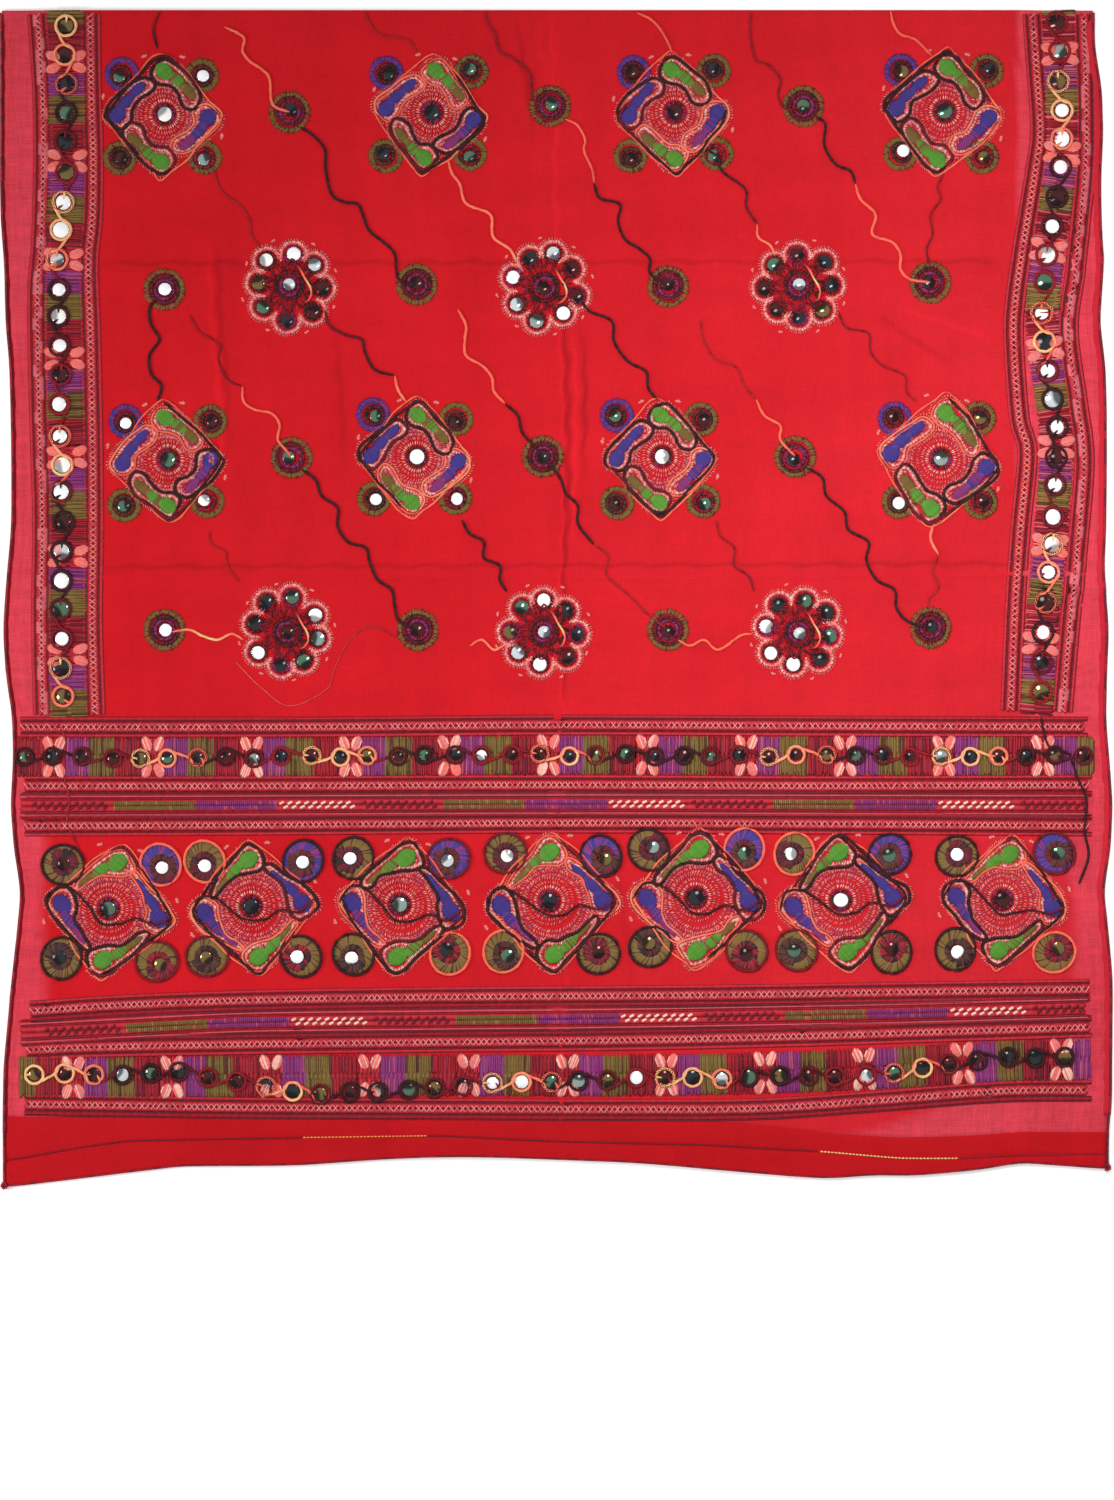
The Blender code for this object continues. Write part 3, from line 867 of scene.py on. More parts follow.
def mesh_piece(name, points, corners, charts, material, smooth=True):
    """One joined mesh of triangles from arrays; charts gives each vertex its place in the colour chart."""
    mesh = bpy.data.meshes.new(name)
    mesh.vertices.add(len(points))
    mesh.vertices.foreach_set("co", points.astype(np.float32).ravel())
    mesh.loops.add(corners.size)
    mesh.loops.foreach_set("vertex_index", corners.astype(np.int32).ravel())
    mesh.polygons.add(len(corners))
    mesh.polygons.foreach_set("loop_start", np.arange(0, corners.size, 3, dtype=np.int32))
    mesh.update(calc_edges=True)
    mesh.materials.append(material)
    if smooth:
        mesh.shade_smooth()
    piece = bpy.data.objects.new(name, mesh)
    bpy.context.scene.collection.objects.link(piece)
    uv_layer(mesh, "OFBake", charts)
    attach(piece, "root")
    print(f"{name}: {len(corners)} triangles")
    return piece


class Needle:
    """Collects stitches as arrays and makes one mesh of them."""

    def __init__(self):
        self.rows = []

    def sew(self, start, end, width, lift, colour, base=0.05, full=False):
        """Stitches from start to end, arrays of places, in one thread or a mix; full ones have no point."""
        start, end = np.atleast_2d(start), np.atleast_2d(end)
        threads = (colour,) if isinstance(colour, str) else colour
        index = RANDOM.choice([THREAD_INDEX[name] for name in threads], len(start))
        columns = [start[:, 0], start[:, 1], end[:, 0], end[:, 1], width, lift, index, base, full]
        self.rows.append(np.stack(np.broadcast_arrays(*columns), axis=-1).astype(float))

    def prisms(self, rows, shares):
        """Points, triangles and chart places of stitches with a ring at each share of their length."""
        start, end = rows[:, 0:2], rows[:, 2:4]
        width, lift, colour, base = rows[:, 4], rows[:, 5], rows[:, 6], rows[:, 7]
        run = end - start
        length = np.maximum(np.hypot(run[:, 0], run[:, 1]), 0.05)
        side = np.stack([-run[:, 1], run[:, 0]], axis=-1) / length[:, None] * (width / 2)[:, None]
        band = RANDOM.integers(0, CHART_ROWS, len(rows))
        points, charts = [], []

        def add(share, aside, height):
            place = start + run * share + side * aside
            level = cloth_top(place[:, 0], place[:, 1]) + base + CLEARANCE
            points.append(world(place[:, 0], place[:, 1], level + height))
            cell = CELL_MARGIN + (1 - 2 * CELL_MARGIN) * (aside + 1) / 2
            row = CELL_MARGIN + (1 - 2 * CELL_MARGIN) * share
            charts.append(np.stack([(colour + cell) / len(THREADS), (band + row) / CHART_ROWS], axis=-1))

        add(0.0, 0.0, -0.05)
        for share in shares:
            add(share, -1.0, -0.05)
            add(share, 0.0, lift)
            add(share, 1.0, -0.05)
        add(1.0, 0.0, -0.05)
        count = 2 + 3 * len(shares)
        faces = [(0, 1 + k, 1 + (k + 1) % 3) for k in range(3)]
        for ring in range(len(shares) - 1):
            near, far = 1 + 3 * ring, 4 + 3 * ring
            for k in range(3):
                following = (k + 1) % 3
                faces.append((near + k, far + k, near + following))
                faces.append((near + following, far + k, far + following))
        last = 1 + 3 * (len(shares) - 1)
        faces += [(last + k, count - 1, last + (k + 1) % 3) for k in range(3)]
        offsets = np.arange(len(rows)) * count
        corners = (np.array(faces)[None, :, :] + offsets[:, None, None]).reshape(-1, 3)
        return np.stack(points, axis=1).reshape(-1, 3), corners, np.stack(charts, axis=1).reshape(-1, 2)

    def finish(self, name, slot="thread"):
        rows = np.concatenate(self.rows)
        full = rows[:, 8] > 0.5
        points, corners, charts = self.prisms(rows[full], SHARE_LONG)
        more_points, more_corners, more_charts = self.prisms(rows[~full], SHARE_SHORT)
        corners = np.concatenate([corners, more_corners + len(points)])
        points = np.concatenate([points, more_points])
        charts = np.concatenate([charts, more_charts])
        return mesh_piece(name, points, corners, charts, thread)


# %% [markdown]
# ## Lines on the cloth
# Bands, outlines and yarn all follow curves. A path is a smooth curve through a few given points,
# resampled at an even step. It can say where a place is that lies some way along it and to one side.


# %% Paths
class Path:
    """A smooth curve through places across and down, in millimetres."""

    def __init__(self, places, closed=False, step=1.0):
        knots = np.asarray(places, dtype=float)
        if closed:
            knots = np.concatenate([knots[-1:], knots, knots[:2]])
        else:
            knots = np.concatenate([2 * knots[:1] - knots[1:2], knots, 2 * knots[-1:] - knots[-2:-1]])
        t = np.linspace(0, 1, 24, endpoint=False)[:, None]
        runs = []
        for before, start, end, after in zip(knots, knots[1:], knots[2:], knots[3:]):
            runs.append(0.5 * (
                2 * start + (end - before) * t + (2 * before - 5 * start + 4 * end - after) * t**2
                + (3 * start - before - 3 * end + after) * t**3
            ))
        line = np.concatenate(runs + [knots[-2:-1]])
        travelled = np.concatenate([[0], np.cumsum(np.hypot(*np.diff(line, axis=0).T))])
        self.length = travelled[-1]
        self.steps = np.linspace(0, self.length, max(3, int(self.length / step) + 1))
        axes = [np.interp(self.steps, travelled, line[:, axis]) for axis in (0, 1)]
        self.places = np.stack(axes, axis=-1)
        run = np.gradient(self.places, axis=0)
        self.runs = run / np.maximum(np.hypot(run[:, 0], run[:, 1]), 1e-6)[:, None]

    def at(self, along, aside=0.0):
        """Places some way along, moved to the left of the path's run by aside."""
        x, y = (np.interp(along, self.steps, self.places[:, axis]) for axis in (0, 1))
        run_x, run_y = (np.interp(along, self.steps, self.runs[:, axis]) for axis in (0, 1))
        return np.stack([x + run_y * aside, y - run_x * aside], axis=-1)


def photo_path(*places):
    return Path(np.stack(from_photo(*np.array(places, dtype=float).T), axis=-1))


def turned(places, centre, angle=0.0, scale=1.0, flip=1):
    """Places of a motif's own drawing, turned, scaled and moved to its centre."""
    places = np.asarray(places, dtype=float) * [flip * scale, scale]
    sine, cosine = math.sin(angle), math.cos(angle)
    return places @ np.array([[cosine, sine], [-sine, cosine]]) + centre


def ways(angle):
    """The unit step that points at each angle."""
    return np.stack([np.cos(angle), np.sin(angle)], axis=-1)


def spokes(count, sweep=math.tau):
    """Angles round a middle, evenly spaced but for the wavering of a hand."""
    return sweep * (np.arange(count) + RANDOM.uniform(-0.3, 0.3, count)) / count


# %% [markdown]
# ## Ways of stitching
# Four stitches make nearly all of it. Satin stitch fills an outline with close parallel threads. Radial
# stitch holds a mirror down, or makes a round halo. Herringbone crosses to and fro between two lines. An
# unbroken line is a thread laid end over end.


# %% Satin, radial and herringbone stitch, and unbroken lines
def satin(needle, outline, angle, pitch, width, lift, colour, base=0.05):
    """Fills a closed outline with parallel stitches that run at an angle."""
    sine, cosine = math.sin(angle), math.cos(angle)
    spun = outline @ np.array([[cosine, -sine], [sine, cosine]])
    following = np.roll(spun, -1, axis=0)
    starts, ends = [], []
    for level in np.arange(spun[:, 1].min() + pitch / 2, spun[:, 1].max(), pitch):
        crossed = (spun[:, 1] > level) != (following[:, 1] > level)
        a, b = spun[crossed], following[crossed]
        cuts = np.sort(a[:, 0] + (level - a[:, 1]) * (b[:, 0] - a[:, 0]) / (b[:, 1] - a[:, 1]))
        for left, right in zip(cuts[::2], cuts[1::2]):
            if right - left > 0.8:
                starts.append((left, level))
                ends.append((right, level))
    if starts:
        back = np.array([[cosine, sine], [-sine, cosine]])
        needle.sew(np.array(starts) @ back, np.array(ends) @ back, width, lift, colour, base, True)


def radial(
    needle, centre, inner, outer, count, width, lift, colour, base=0.05,
    slant=0.0, start=0.0, sweep=math.tau, ragged=0.08, full=False,
):
    """Stitches like the spokes of a wheel; slant turns their outer ends round, ragged makes them uneven."""
    angle = start + spokes(count, sweep)
    reach = outer + RANDOM.uniform(-ragged, ragged, count) * (outer - inner)
    near, far = centre + inner * ways(angle), centre + reach[:, None] * ways(angle + slant)
    needle.sew(near, far, width, lift, colour, base, full)


def tuft(needle, place, way, length, count):
    """A tiny fan of salmon thread that opens outwards."""
    radial(needle, place, 0.4, length, count, 1.7, 0.6, ("salmon", "pink"), 0.05, 0.0, way - 1.0, 2.0)


def herringbone(needle, path, half_height, period, width, colour):
    """Slanting stitches to and fro between two lines, in two passes that cross each other."""
    for shift in (0.0, period / 2):
        upper = np.arange(shift, path.length - period, period)
        low = path.at(upper + period / 2 + RANDOM.uniform(-0.3, 0.3, len(upper)), -half_height)
        needle.sew(path.at(upper, half_height), low, width, 0.5, colour, 0.3, True)
        needle.sew(low, path.at(upper + period, half_height), width, 0.5, colour, 0.4, True)


def unbroken(needle, path, width, colour, aside=0.0, lift=0.3, base=0.05, length=10.0):
    """A thread that shows as one line: stitches that overlap end to end."""
    along = np.arange(0, path.length - 0.6 * length, 0.8 * length)
    needle.sew(path.at(along, aside), path.at(along + length, aside), width, lift, colour, base, True)


def both_sides(needle, path, rows, lift=0.3, base=0.2):
    """Unbroken lines along both sides of a path; a row gives their distance, width and thread."""
    for aside, width, colour in rows:
        unbroken(needle, path, width, colour, -aside, lift, base)
        unbroken(needle, path, width, colour, aside, lift, base)


def ellipse(half_long, half_wide, centre=(0.0, 0.0), angle=0.0, points=20):
    turn = np.linspace(0, math.tau, points, endpoint=False)
    return turned(ways(turn) * [half_long, half_wide], centre, angle)


# %% [markdown]
# ## Yarn
# The wandering lines are a thicker yarn laid on the cloth and tied down, dyed in turns from black through
# maroon, red and orange to pale yellow. It is a tube with four corners that twist along it, like its
# plies. Its place in the dye runs across its own colour chart, so a length of yarn can change colour as
# it goes.

# %% Yarn colours
YARN_DYES = (
    # place across the chart, display colour
    (0.00, (46, 14, 20)),
    (0.16, (50, 14, 20)),
    (0.28, (104, 12, 26)),
    (0.42, (140, 14, 24)),
    (0.56, (206, 70, 58)),
    (0.70, (228, 94, 72)),
    (0.82, (232, 122, 94)),
    (0.94, (226, 184, 124)),
)
BLACK, MAROON, DARK_RED, SALMON, ORANGE, PEACH, YELLOW = 0.08, 0.28, 0.42, 0.58, 0.70, 0.82, 0.94
YARN_STEP = 2.4


def yarn_finish():
    finish = Finish("yarn", Roughness=0.7, Specular_IOR_Level=0.22)
    dye, around, _ = finish.place("OFBake").parts()
    stops = ("LINEAR", [(place, linear(*colour)) for place, colour in YARN_DYES])
    colour = dye.node("ShaderNodeValToRGB", {"stops": stops}, i0=dye)
    plies = (around * math.tau * 4.0).sine()
    finish.feed("Base Color", colour.scaled(0.98 + plies * 0.14))
    return finish.material


yarn = yarn_finish()


class Skein:
    """Collects lengths of yarn and makes one mesh of them."""

    def __init__(self):
        self.lengths = []

    def lay(self, path, dyes, radius, base):
        """One length along a path; dyes are the colours it passes through, evenly spaced."""
        count = max(3, int(path.length / YARN_STEP) + 1)
        along = np.linspace(0, path.length, count)
        dye = np.interp(np.linspace(0, 1, count), np.linspace(0, 1, len(dyes)), dyes)
        places = path.at(along)
        height = cloth_top(places[:, 0], places[:, 1]) + base
        self.lengths.append((world(places[:, 0], places[:, 1], height + radius * 0.6), dye, radius))

    def finish(self, name):
        points, corners, charts, total = [], [], [], 0
        corner_turn = np.arange(5) * math.tau / 4
        for centre, dye, radius in self.lengths:
            rings = len(centre)
            run = np.gradient(centre, axis=0)
            run /= np.maximum(np.linalg.norm(run, axis=1), 1e-9)[:, None]
            side = np.cross(run, (0.0, 0.0, 1.0))
            side /= np.maximum(np.linalg.norm(side, axis=1), 1e-9)[:, None]
            upward = np.cross(side, run)
            turn = corner_turn[None, :] + np.arange(rings)[:, None] * 0.55
            taper = np.clip(np.minimum(np.arange(rings), np.arange(rings)[::-1]) / 2.0 + 0.25, 0.25, 1)
            thick = radius * MM * taper[:, None, None]
            level_part = side[:, None, :] * np.cos(turn)[..., None]
            ring = level_part + upward[:, None, :] * 0.8 * np.sin(turn)[..., None]
            points.append((centre[:, None, :] + thick * ring).reshape(-1, 3))
            index = np.arange(rings * 5).reshape(rings, 5) + total
            near, far = index[:-1, :-1], index[1:, :-1]
            near_next, far_next = index[:-1, 1:], index[1:, 1:]
            corners.append(np.stack([near, far, near_next], axis=-1).reshape(-1, 3))
            corners.append(np.stack([near_next, far, far_next], axis=-1).reshape(-1, 3))
            parity = (np.arange(rings) % 2) * 0.006
            chart = np.broadcast_arrays(0.01 + dye[:, None] + parity[:, None], corner_turn / math.tau)
            charts.append(np.stack(chart, axis=-1).reshape(-1, 2))
            total += rings * 5
        charts = np.clip(np.concatenate(charts), 0.0, 1.0)
        return mesh_piece(name, np.concatenate(points), np.concatenate(corners), charts, yarn)


# %% [markdown]
# ## Mirrors
# Each mirror is a hand-cut round of thin silvered glass, held only by the stitches round its edge. One is
# modelled with operators: a short cylinder whose top edge is bevelled. Its points are then copied to
# every place, each copy turned, scaled and tilted a little, and joined in one mesh. What each mirror
# reflects is painted into its colour, so the chart has bright, grey, greenish and nearly black glass as
# painted reflections, each with a second tone painted on one side.

# %% The mirror's chart and its model
GLASS = (
    # painted reflections: first tone, second tone on one side, as display colours
    ((250, 250, 250), (240, 244, 246)),
    ((252, 250, 244), (150, 150, 152)),
    ((214, 222, 224), (92, 96, 104)),
    ((150, 168, 164), (50, 62, 58)),
    ((84, 118, 96), (24, 34, 30)),
    ((44, 46, 50), (16, 16, 20)),
    ((74, 30, 30), (22, 10, 12)),
    ((120, 100, 58), (40, 30, 20)),
)
BRIGHT, PATCHED, GREY, SMOKE, GREENISH, DARK, BROWN, AMBER = range(len(GLASS))


def glass_finish():
    finish = Finish("mirror", Specular_IOR_Level=0.5)
    across, up, _ = finish.place("OFBake").parts()
    first = across.node("ShaderNodeValToRGB", {"stops": chart_stops([row[0] for row in GLASS])}, i0=across)
    second = across.node("ShaderNodeValToRGB", {"stops": chart_stops([row[1] for row in GLASS])}, i0=across)
    ripple = ((across * len(GLASS)).fraction() * 5.0).sine() * 0.12
    share = across.node(
        "ShaderNodeMapRange", {"interpolation_type": "SMOOTHSTEP"},
        Value=up + ripple, **{"From Min": 0.50, "From Max": 0.74},
    )
    # The two brightest painted reflections are less metallic, so their painted white shows.
    bright_painted_tones = across.math("LESS_THAN", across, 2.0 / len(GLASS))
    finish.feed("Base Color", share.mix(first, second))
    finish.feed("Metallic", 0.55 - bright_painted_tones * 0.35)
    finish.feed("Roughness", 0.06 + share * 0.10)
    return finish.material


glass = glass_finish()
bpy.ops.mesh.primitive_cylinder_add(vertices=14, radius=1.0, depth=0.14, location=(0, 0, 0.07))
pattern = bpy.context.active_object
bpy.ops.object.mode_set(mode="EDIT")
bpy.ops.mesh.select_all(action="DESELECT")
edit = bmesh.from_edit_mesh(pattern.data)
for edge in edit.edges:
    edge.select = all(vertex.co.z > 0.06 for vertex in edge.verts)
edit.select_flush_mode()
bpy.ops.mesh.bevel(offset=0.07, segments=1)
bpy.ops.mesh.select_all(action="SELECT")
bpy.ops.mesh.quads_convert_to_tris()
bpy.ops.object.mode_set(mode="OBJECT")
MIRROR_POINTS = np.array([vertex.co for vertex in pattern.data.vertices]) + [0, 0, 0.07]
MIRROR_FACES = np.array([list(face.vertices) for face in pattern.data.polygons])
bpy.data.objects.remove(pattern)
print("one mirror:", len(MIRROR_FACES), "triangles")


class Tray:
    """Collects mirrors and makes one mesh of them."""

    def __init__(self):
        self.rows = []

    def put(self, place, radius, tone):
        self.rows.append((place[0], place[1], radius, tone))

    def finish(self, name):
        points, charts = [], []
        for across, down, radius, tone in self.rows:
            turn, tilt_x, tilt_y = RANDOM.uniform(0, math.tau), *RANDOM.normal(0, 0.035, 2)
            cosine, sine = math.cos(turn), math.sin(turn)
            local = MIRROR_POINTS @ np.array([[cosine, sine, 0], [-sine, cosine, 0], [0, 0, 1]])
            uneven = 1 + RANDOM.uniform(-0.06, 0.06, 2)
            flat = local[:, :2] * radius * uneven
            height = local[:, 2] * 6.0 + flat[:, 0] * tilt_x + flat[:, 1] * tilt_y
            level = cloth_top(across, down) + 0.35
            points.append(world(across + flat[:, 0], down + flat[:, 1], level + height))
            cell = CELL_MARGIN + (1 - 2 * CELL_MARGIN) * (MIRROR_POINTS[:, 0] + 1) / 2
            across_chart = (tone + cell) / len(GLASS)
            charts.append(np.stack([across_chart, 0.02 + 0.48 * (MIRROR_POINTS[:, 1] + 1)], axis=-1))
        count = len(MIRROR_POINTS)
        offsets = np.arange(len(self.rows)) * count
        corners = (MIRROR_FACES[None, :, ::-1] + offsets[:, None, None]).reshape(-1, 3)
        print(len(self.rows), "mirrors")
        points, charts = np.concatenate(points), np.concatenate(charts)
        return mesh_piece(name, points, corners, charts, glass, False)


tray = Tray()


def set_mirror(needle, place, radius, tone, colour):
    """A mirror and the short stitches that reach over its rim."""
    tray.put(place, radius, tone)
    radial(needle, place, radius - 1.0, radius + 2.2, 22, 1.8, 1.5, colour, 0.1)



# %% [markdown]
# ## Rows of the borders
# The lower border is a stack of rows: herringbone between thin dark lines, dash rows that change colour
# by the hand's width, and mirror bands. Every row waves with the cloth, so each has its own short line of
# points.

# %% Where the rows run
ZIGZAG_ROWS = (
    # column, row in photo pixels along each herringbone row
    ((20, 727), (300, 727), (560, 725), (800, 726), (1088, 727)),
    ((24, 786), (250, 786), (560, 785), (820, 786), (1092, 785)),
    ((24, 826), (250, 825), (560, 823), (820, 824), (1092, 826)),
    ((30, 1011), (120, 1005), (250, 1000), (430, 997), (700, 995), (900, 992), (1090, 989)),
    ((26, 1050), (90, 1047), (250, 1044), (430, 1042), (620, 1040), (800, 1036), (960, 1031),
     (1092, 1027)),
    ((24, 1104), (110, 1105), (250, 1107), (430, 1108), (620, 1109), (760, 1108), (880, 1100),
     (1000, 1091), (1092, 1090)),
)
SIDE_ZIGZAGS = (
    # column, row along each upright herringbone row: left outer, left inner, right inner, right outer
    ((38, 14), (43, 90), (44, 160), (42, 240), (38, 300), (40, 420), (43, 520), (42, 620), (44, 716)),
    ((91, 14), (92, 90), (94, 160), (93, 220), (89, 262), (91, 330), (93, 420), (94, 520), (93, 620),
     (96, 716)),
    ((1032, 14), (1036, 70), (1040, 130), (1036, 165), (1022, 250), (1015, 300), (1013, 340), (1019, 420),
     (1027, 452), (1020, 530), (1015, 600), (1010, 714)),
    ((1083, 14), (1086, 100), (1085, 170), (1075, 270), (1068, 330), (1077, 400), (1084, 460),
     (1078, 540), (1070, 620), (1062, 714)),
)
DASH_LINES = (
    ((20, 806), (560, 804), (1092, 805)),
    ((20, 1033), (120, 1028), (250, 1022), (430, 1020), (620, 1018), (900, 1013), (1092, 1008)),
)
RIBS = (
    # which line, and how far above it the thin dark rows run, in millimetres
    (0, (9.0,)), (1, (-8.0, -10.6)), (2, (8.2, 10.8)),
    (3, (-8.2, -11.0)), (4, (8.4, 11.2)), (5, (-8.0, -10.4)),
)
ZIGZAG_PERIOD, ZIGZAG_WIDTH = 10.6, 1.3
ZIGZAG_GROUND = (-2.6, 2.6)   # two wide threads under the herringbone
ZIGZAG_EDGES = ((8.2, 3.6, "crimson"), (6.0, 1.2, "maroon"))
DASH_GROUND = (-9.4, -3.0, 3.0, 9.4)
DASH_RIBS = ((6.4, 1.3, "dark_red"), (8.6, 1.3, "rose"), (11.0, 1.3, "maroon"))
OUTER_RIB = 9.5               # ribs beyond this are darker
zigzag_rows = [photo_path(*row) for row in ZIGZAG_ROWS]
side_zigzags = [photo_path(*row) for row in SIDE_ZIGZAGS]
dash_lines = [photo_path(*row) for row in DASH_LINES]


def sew_zigzag(needle, path, colour, ground, half_height=3.5):
    """Pale threads to and fro on a dark red ground, with thin dark rows along each side."""
    for aside in ZIGZAG_GROUND:
        unbroken(needle, path, 5.6, ground, aside, 0.1, 0.0, 14.0)
    herringbone(needle, path, half_height, ZIGZAG_PERIOD, ZIGZAG_WIDTH, colour)
    both_sides(needle, path, ZIGZAG_EDGES, 0.2, 0.02)


needle = Needle()
for path in zigzag_rows:
    sew_zigzag(needle, path, ("pink", "pink", "rose"), "crimson")
for path in side_zigzags[1:3]:
    sew_zigzag(needle, path, ("pink", "pink", "rose", "salmon"), "crimson")
for path in (side_zigzags[0], side_zigzags[3]):
    sew_zigzag(needle, path, ("pink", "rose", "pink"), ("crimson", "rose", "crimson"), 2.8)
for line, asides in RIBS:
    for aside in asides:
        colour = "maroon" if abs(aside) > OUTER_RIB else "dark_red"
        unbroken(needle, zigzag_rows[line], 1.3, colour, aside, base=0.2)
for path in dash_lines:
    for aside in DASH_GROUND:
        unbroken(needle, path, 7.4, "crimson", aside, 0.1, 0.0, 17.0)
    both_sides(needle, path, DASH_RIBS)
needle.finish("stitches_rows")

# %% Dash rows
DASH_CYCLE = ("olive", "purple", "pale", "maroon")
DASH_BLOCK = 79.0             # millimetres from one block to the next
DASH_MIX = {"olive": ("olive",) * 7 + ("khaki",), "purple": ("purple",) * 7 + ("mauve",)}


def path_part(path, begin, end):
    """The stretch of a path between two places along it."""
    return Path(path.at(np.linspace(begin, end, 12)))


def sew_dash_row(needle, path, start, first):
    """Blocks of two close satin rows, and blocks of thick slanting strokes set one below the other."""
    for number, begin in enumerate(np.arange(start, path.length - 20, DASH_BLOCK)):
        colour = DASH_CYCLE[(first + number) % 4]
        end = min(begin + DASH_BLOCK - 2, path.length - 3)
        if colour in ("olive", "purple"):
            pads = np.arange(begin + 2, end - 1, 4.0)
            needle.sew(path.at(pads, 4.4), path.at(pads + 0.6, -4.4), 5.6, 0.2, colour, 0.0, True)
            along = np.arange(begin, end, 1.9)
            for upper, lower in ((4.6, 0.1), (-0.1, -4.6)):
                start_at, end_at = path.at(along, upper), path.at(along + 0.6, lower)
                needle.sew(start_at, end_at, 2.0, 0.4, DASH_MIX[colour], 0.2, True)
            unbroken(needle, path_part(path, begin, end), 0.9, ("maroon", "dark_red"), base=0.5)
        else:
            along = np.arange(begin, end - 8, 8.0)
            for offset, lower, upper in ((0, 0.7, 3.3), (4.0, -3.3, -0.7)):
                start_at, end_at = path.at(along + offset, lower), path.at(along + offset + 5.0, upper)
                needle.sew(start_at, end_at, 3.0, 0.7, colour, 0.1, True)


needle = Needle()
sew_dash_row(needle, dash_lines[0], 12, 3)
sew_dash_row(needle, dash_lines[1], 24, 3)
needle.finish("stitches_dashes")

# %% The machine stitches of the end hem
HEM_THREADS = (
    # photo column where a colour of the shaded thread ends, and the colour
    (305, "maroon"), (430, "orange"), (822, "maroon"), (962, "yellow"), (1110, "dark_red"),
)
HEM_STITCH, HEM_PITCH = 2.9, 3.4
EDGE_SHADOW_THREADS = ("maroon", "dark_red")
EDGE_INSET = 1.8
needle = Needle()
hem_places = np.arange(6, WIDTH - 6, 12.0)
hem_path = Path(np.stack([hem_places, stitch_line(hem_places)], axis=-1))
begin = 0.0
for column, colour in HEM_THREADS:
    end = min(from_photo(column, 0)[0] - 6, hem_path.length)
    along = np.arange(begin, end - 3, HEM_PITCH)
    needle.sew(hem_path.at(along), hem_path.at(along + HEM_STITCH), 1.5, 0.4, colour, 0.5, True)
    begin = end
# Dark threads along the lower edge paint the thin shadow line under it; those along both sides paint the
# same line, partly the rolled edge's own darker red. A small dark fan sits at each lower corner.
edge_places = np.arange(3, WIDTH - 3, 12.0)
edge_shadow_path = Path(np.stack([edge_places, lower_edge(edge_places) - 1.2], axis=-1))
unbroken(needle, edge_shadow_path, 1.7, EDGE_SHADOW_THREADS, base=0.45)
for edge, inset in ((left_edge, EDGE_INSET), (right_edge, -EDGE_INSET)):
    corner_down = lower_edge(edge(HALF_LENGTH)) - 1.5
    edge_downs = np.linspace(4.0, corner_down, 140)
    edge_shadow_path = Path(np.stack([edge(edge_downs) + inset, edge_downs], axis=-1))
    unbroken(needle, edge_shadow_path, 2.2, EDGE_SHADOW_THREADS, lift=0.5, base=0.9)
    corner = (edge(corner_down) + inset, corner_down)
    radial(needle, corner, 0.3, 4.6, 11, 2.4, 0.8, EDGE_SHADOW_THREADS, 0.6)
needle.finish("stitches_hem")

# %% [markdown]
# ## Mirror bands
# A mirror band is a row of blocks in satin stitch, sewn on both sides of a line of mirrors. The blocks
# come round in one order: a cross of four salmon petals, purple, olive and maroon. Yarn runs along the
# band and loops round every mirror, first on one side and then on the other.

# %% Blocks of a mirror band
BAND_CYCLE = (
    # start of the block in the cycle, its width in millimetres, and its threads; petals come first
    (0.0, 21.5, ("dark_red", "red")),
    (21.5, 22.5, ("purple",) * 5 + ("mauve",)),
    (44.0, 25.0, ("olive",) * 5 + ("brown",)),
    (69.0, 25.8, ("dark_red", "dark_red", "maroon")),
)
CYCLE_LENGTH = 94.8
PALER_TWIN = {
    # a thread and the paler one mixed in with it in the paler band
    "dark_red": "rose", "red": "salmon", "purple": "mauve", "mauve": "rose",
    "olive": "khaki", "brown": "olive", "maroon": "dark_red",
}


def sew_petals(needle, path, middle, half_height, colour):
    """Four petals that lean towards each other across the line of mirrors."""
    for side in (-1, 1):
        for lean in (-1, 1):
            centre = path.at(middle + lean * 5.8, side * half_height * 0.62)
            run = path.at(middle + 1) - path.at(middle - 1)
            slope = math.atan2(run[1], run[0]) - side * lean * 1.2
            satin(needle, ellipse(8.6, 4.6, centre, slope), slope, 1.1, 1.6, 0.8, colour, 0.4)


def sew_band_blocks(needle, path, half_height, start, petals, pitch, with_paler):
    """Satin blocks on both sides of a path, on wide padding stitches; their ends are uneven."""
    for begin in np.arange(start - CYCLE_LENGTH, path.length, CYCLE_LENGTH):
        for offset, reach, threads in BAND_CYCLE:
            if with_paler:
                threads = threads + tuple(PALER_TWIN[name] for name in threads)
            first, last = max(begin + offset, 0), min(begin + offset + reach, path.length)
            if last - first < 3:
                continue
            pads = np.arange(first + 2.0, last, 4.0)
            near, far = path.at(pads, -half_height + 1.0), path.at(pads, half_height - 1.0)
            needle.sew(near, far, 5.8, 0.2, threads[0], 0.0, True)
            along = np.arange(first + 0.6, last, pitch)
            for side in (-1, 1):
                along = along + RANDOM.uniform(-0.9, 0.9, len(along))
                near = RANDOM.uniform(0.4, 1.6, len(along))
                far = half_height - RANDOM.uniform(0, 1.6, len(along))
                lean = RANDOM.uniform(-0.8, 0.8, len(along))
                start_at, end_at = path.at(along, side * near), path.at(along + lean, side * far)
                needle.sew(start_at, end_at, 2.0, 0.3, threads, 0.2, True)
            if offset == 0 and last - first > 15:
                sew_petals(needle, path, (first + last) / 2, half_height, petals)


# %% Mirrors and looping yarn along a band
def band_mirrors(path, pitch, start, asides):
    """Places of mirrors along a path; asides says how far they stray from it at shares of its length."""
    along = np.arange(start, path.length - 6, pitch)
    along = along + RANDOM.uniform(-1.6, 1.6, len(along))
    shares, strays = np.array(asides).T
    aside = np.interp(along / path.length, shares, strays) + RANDOM.uniform(-1.3, 1.3, len(along))
    return path.at(along, aside)


LOOP_TAIL = 3.0


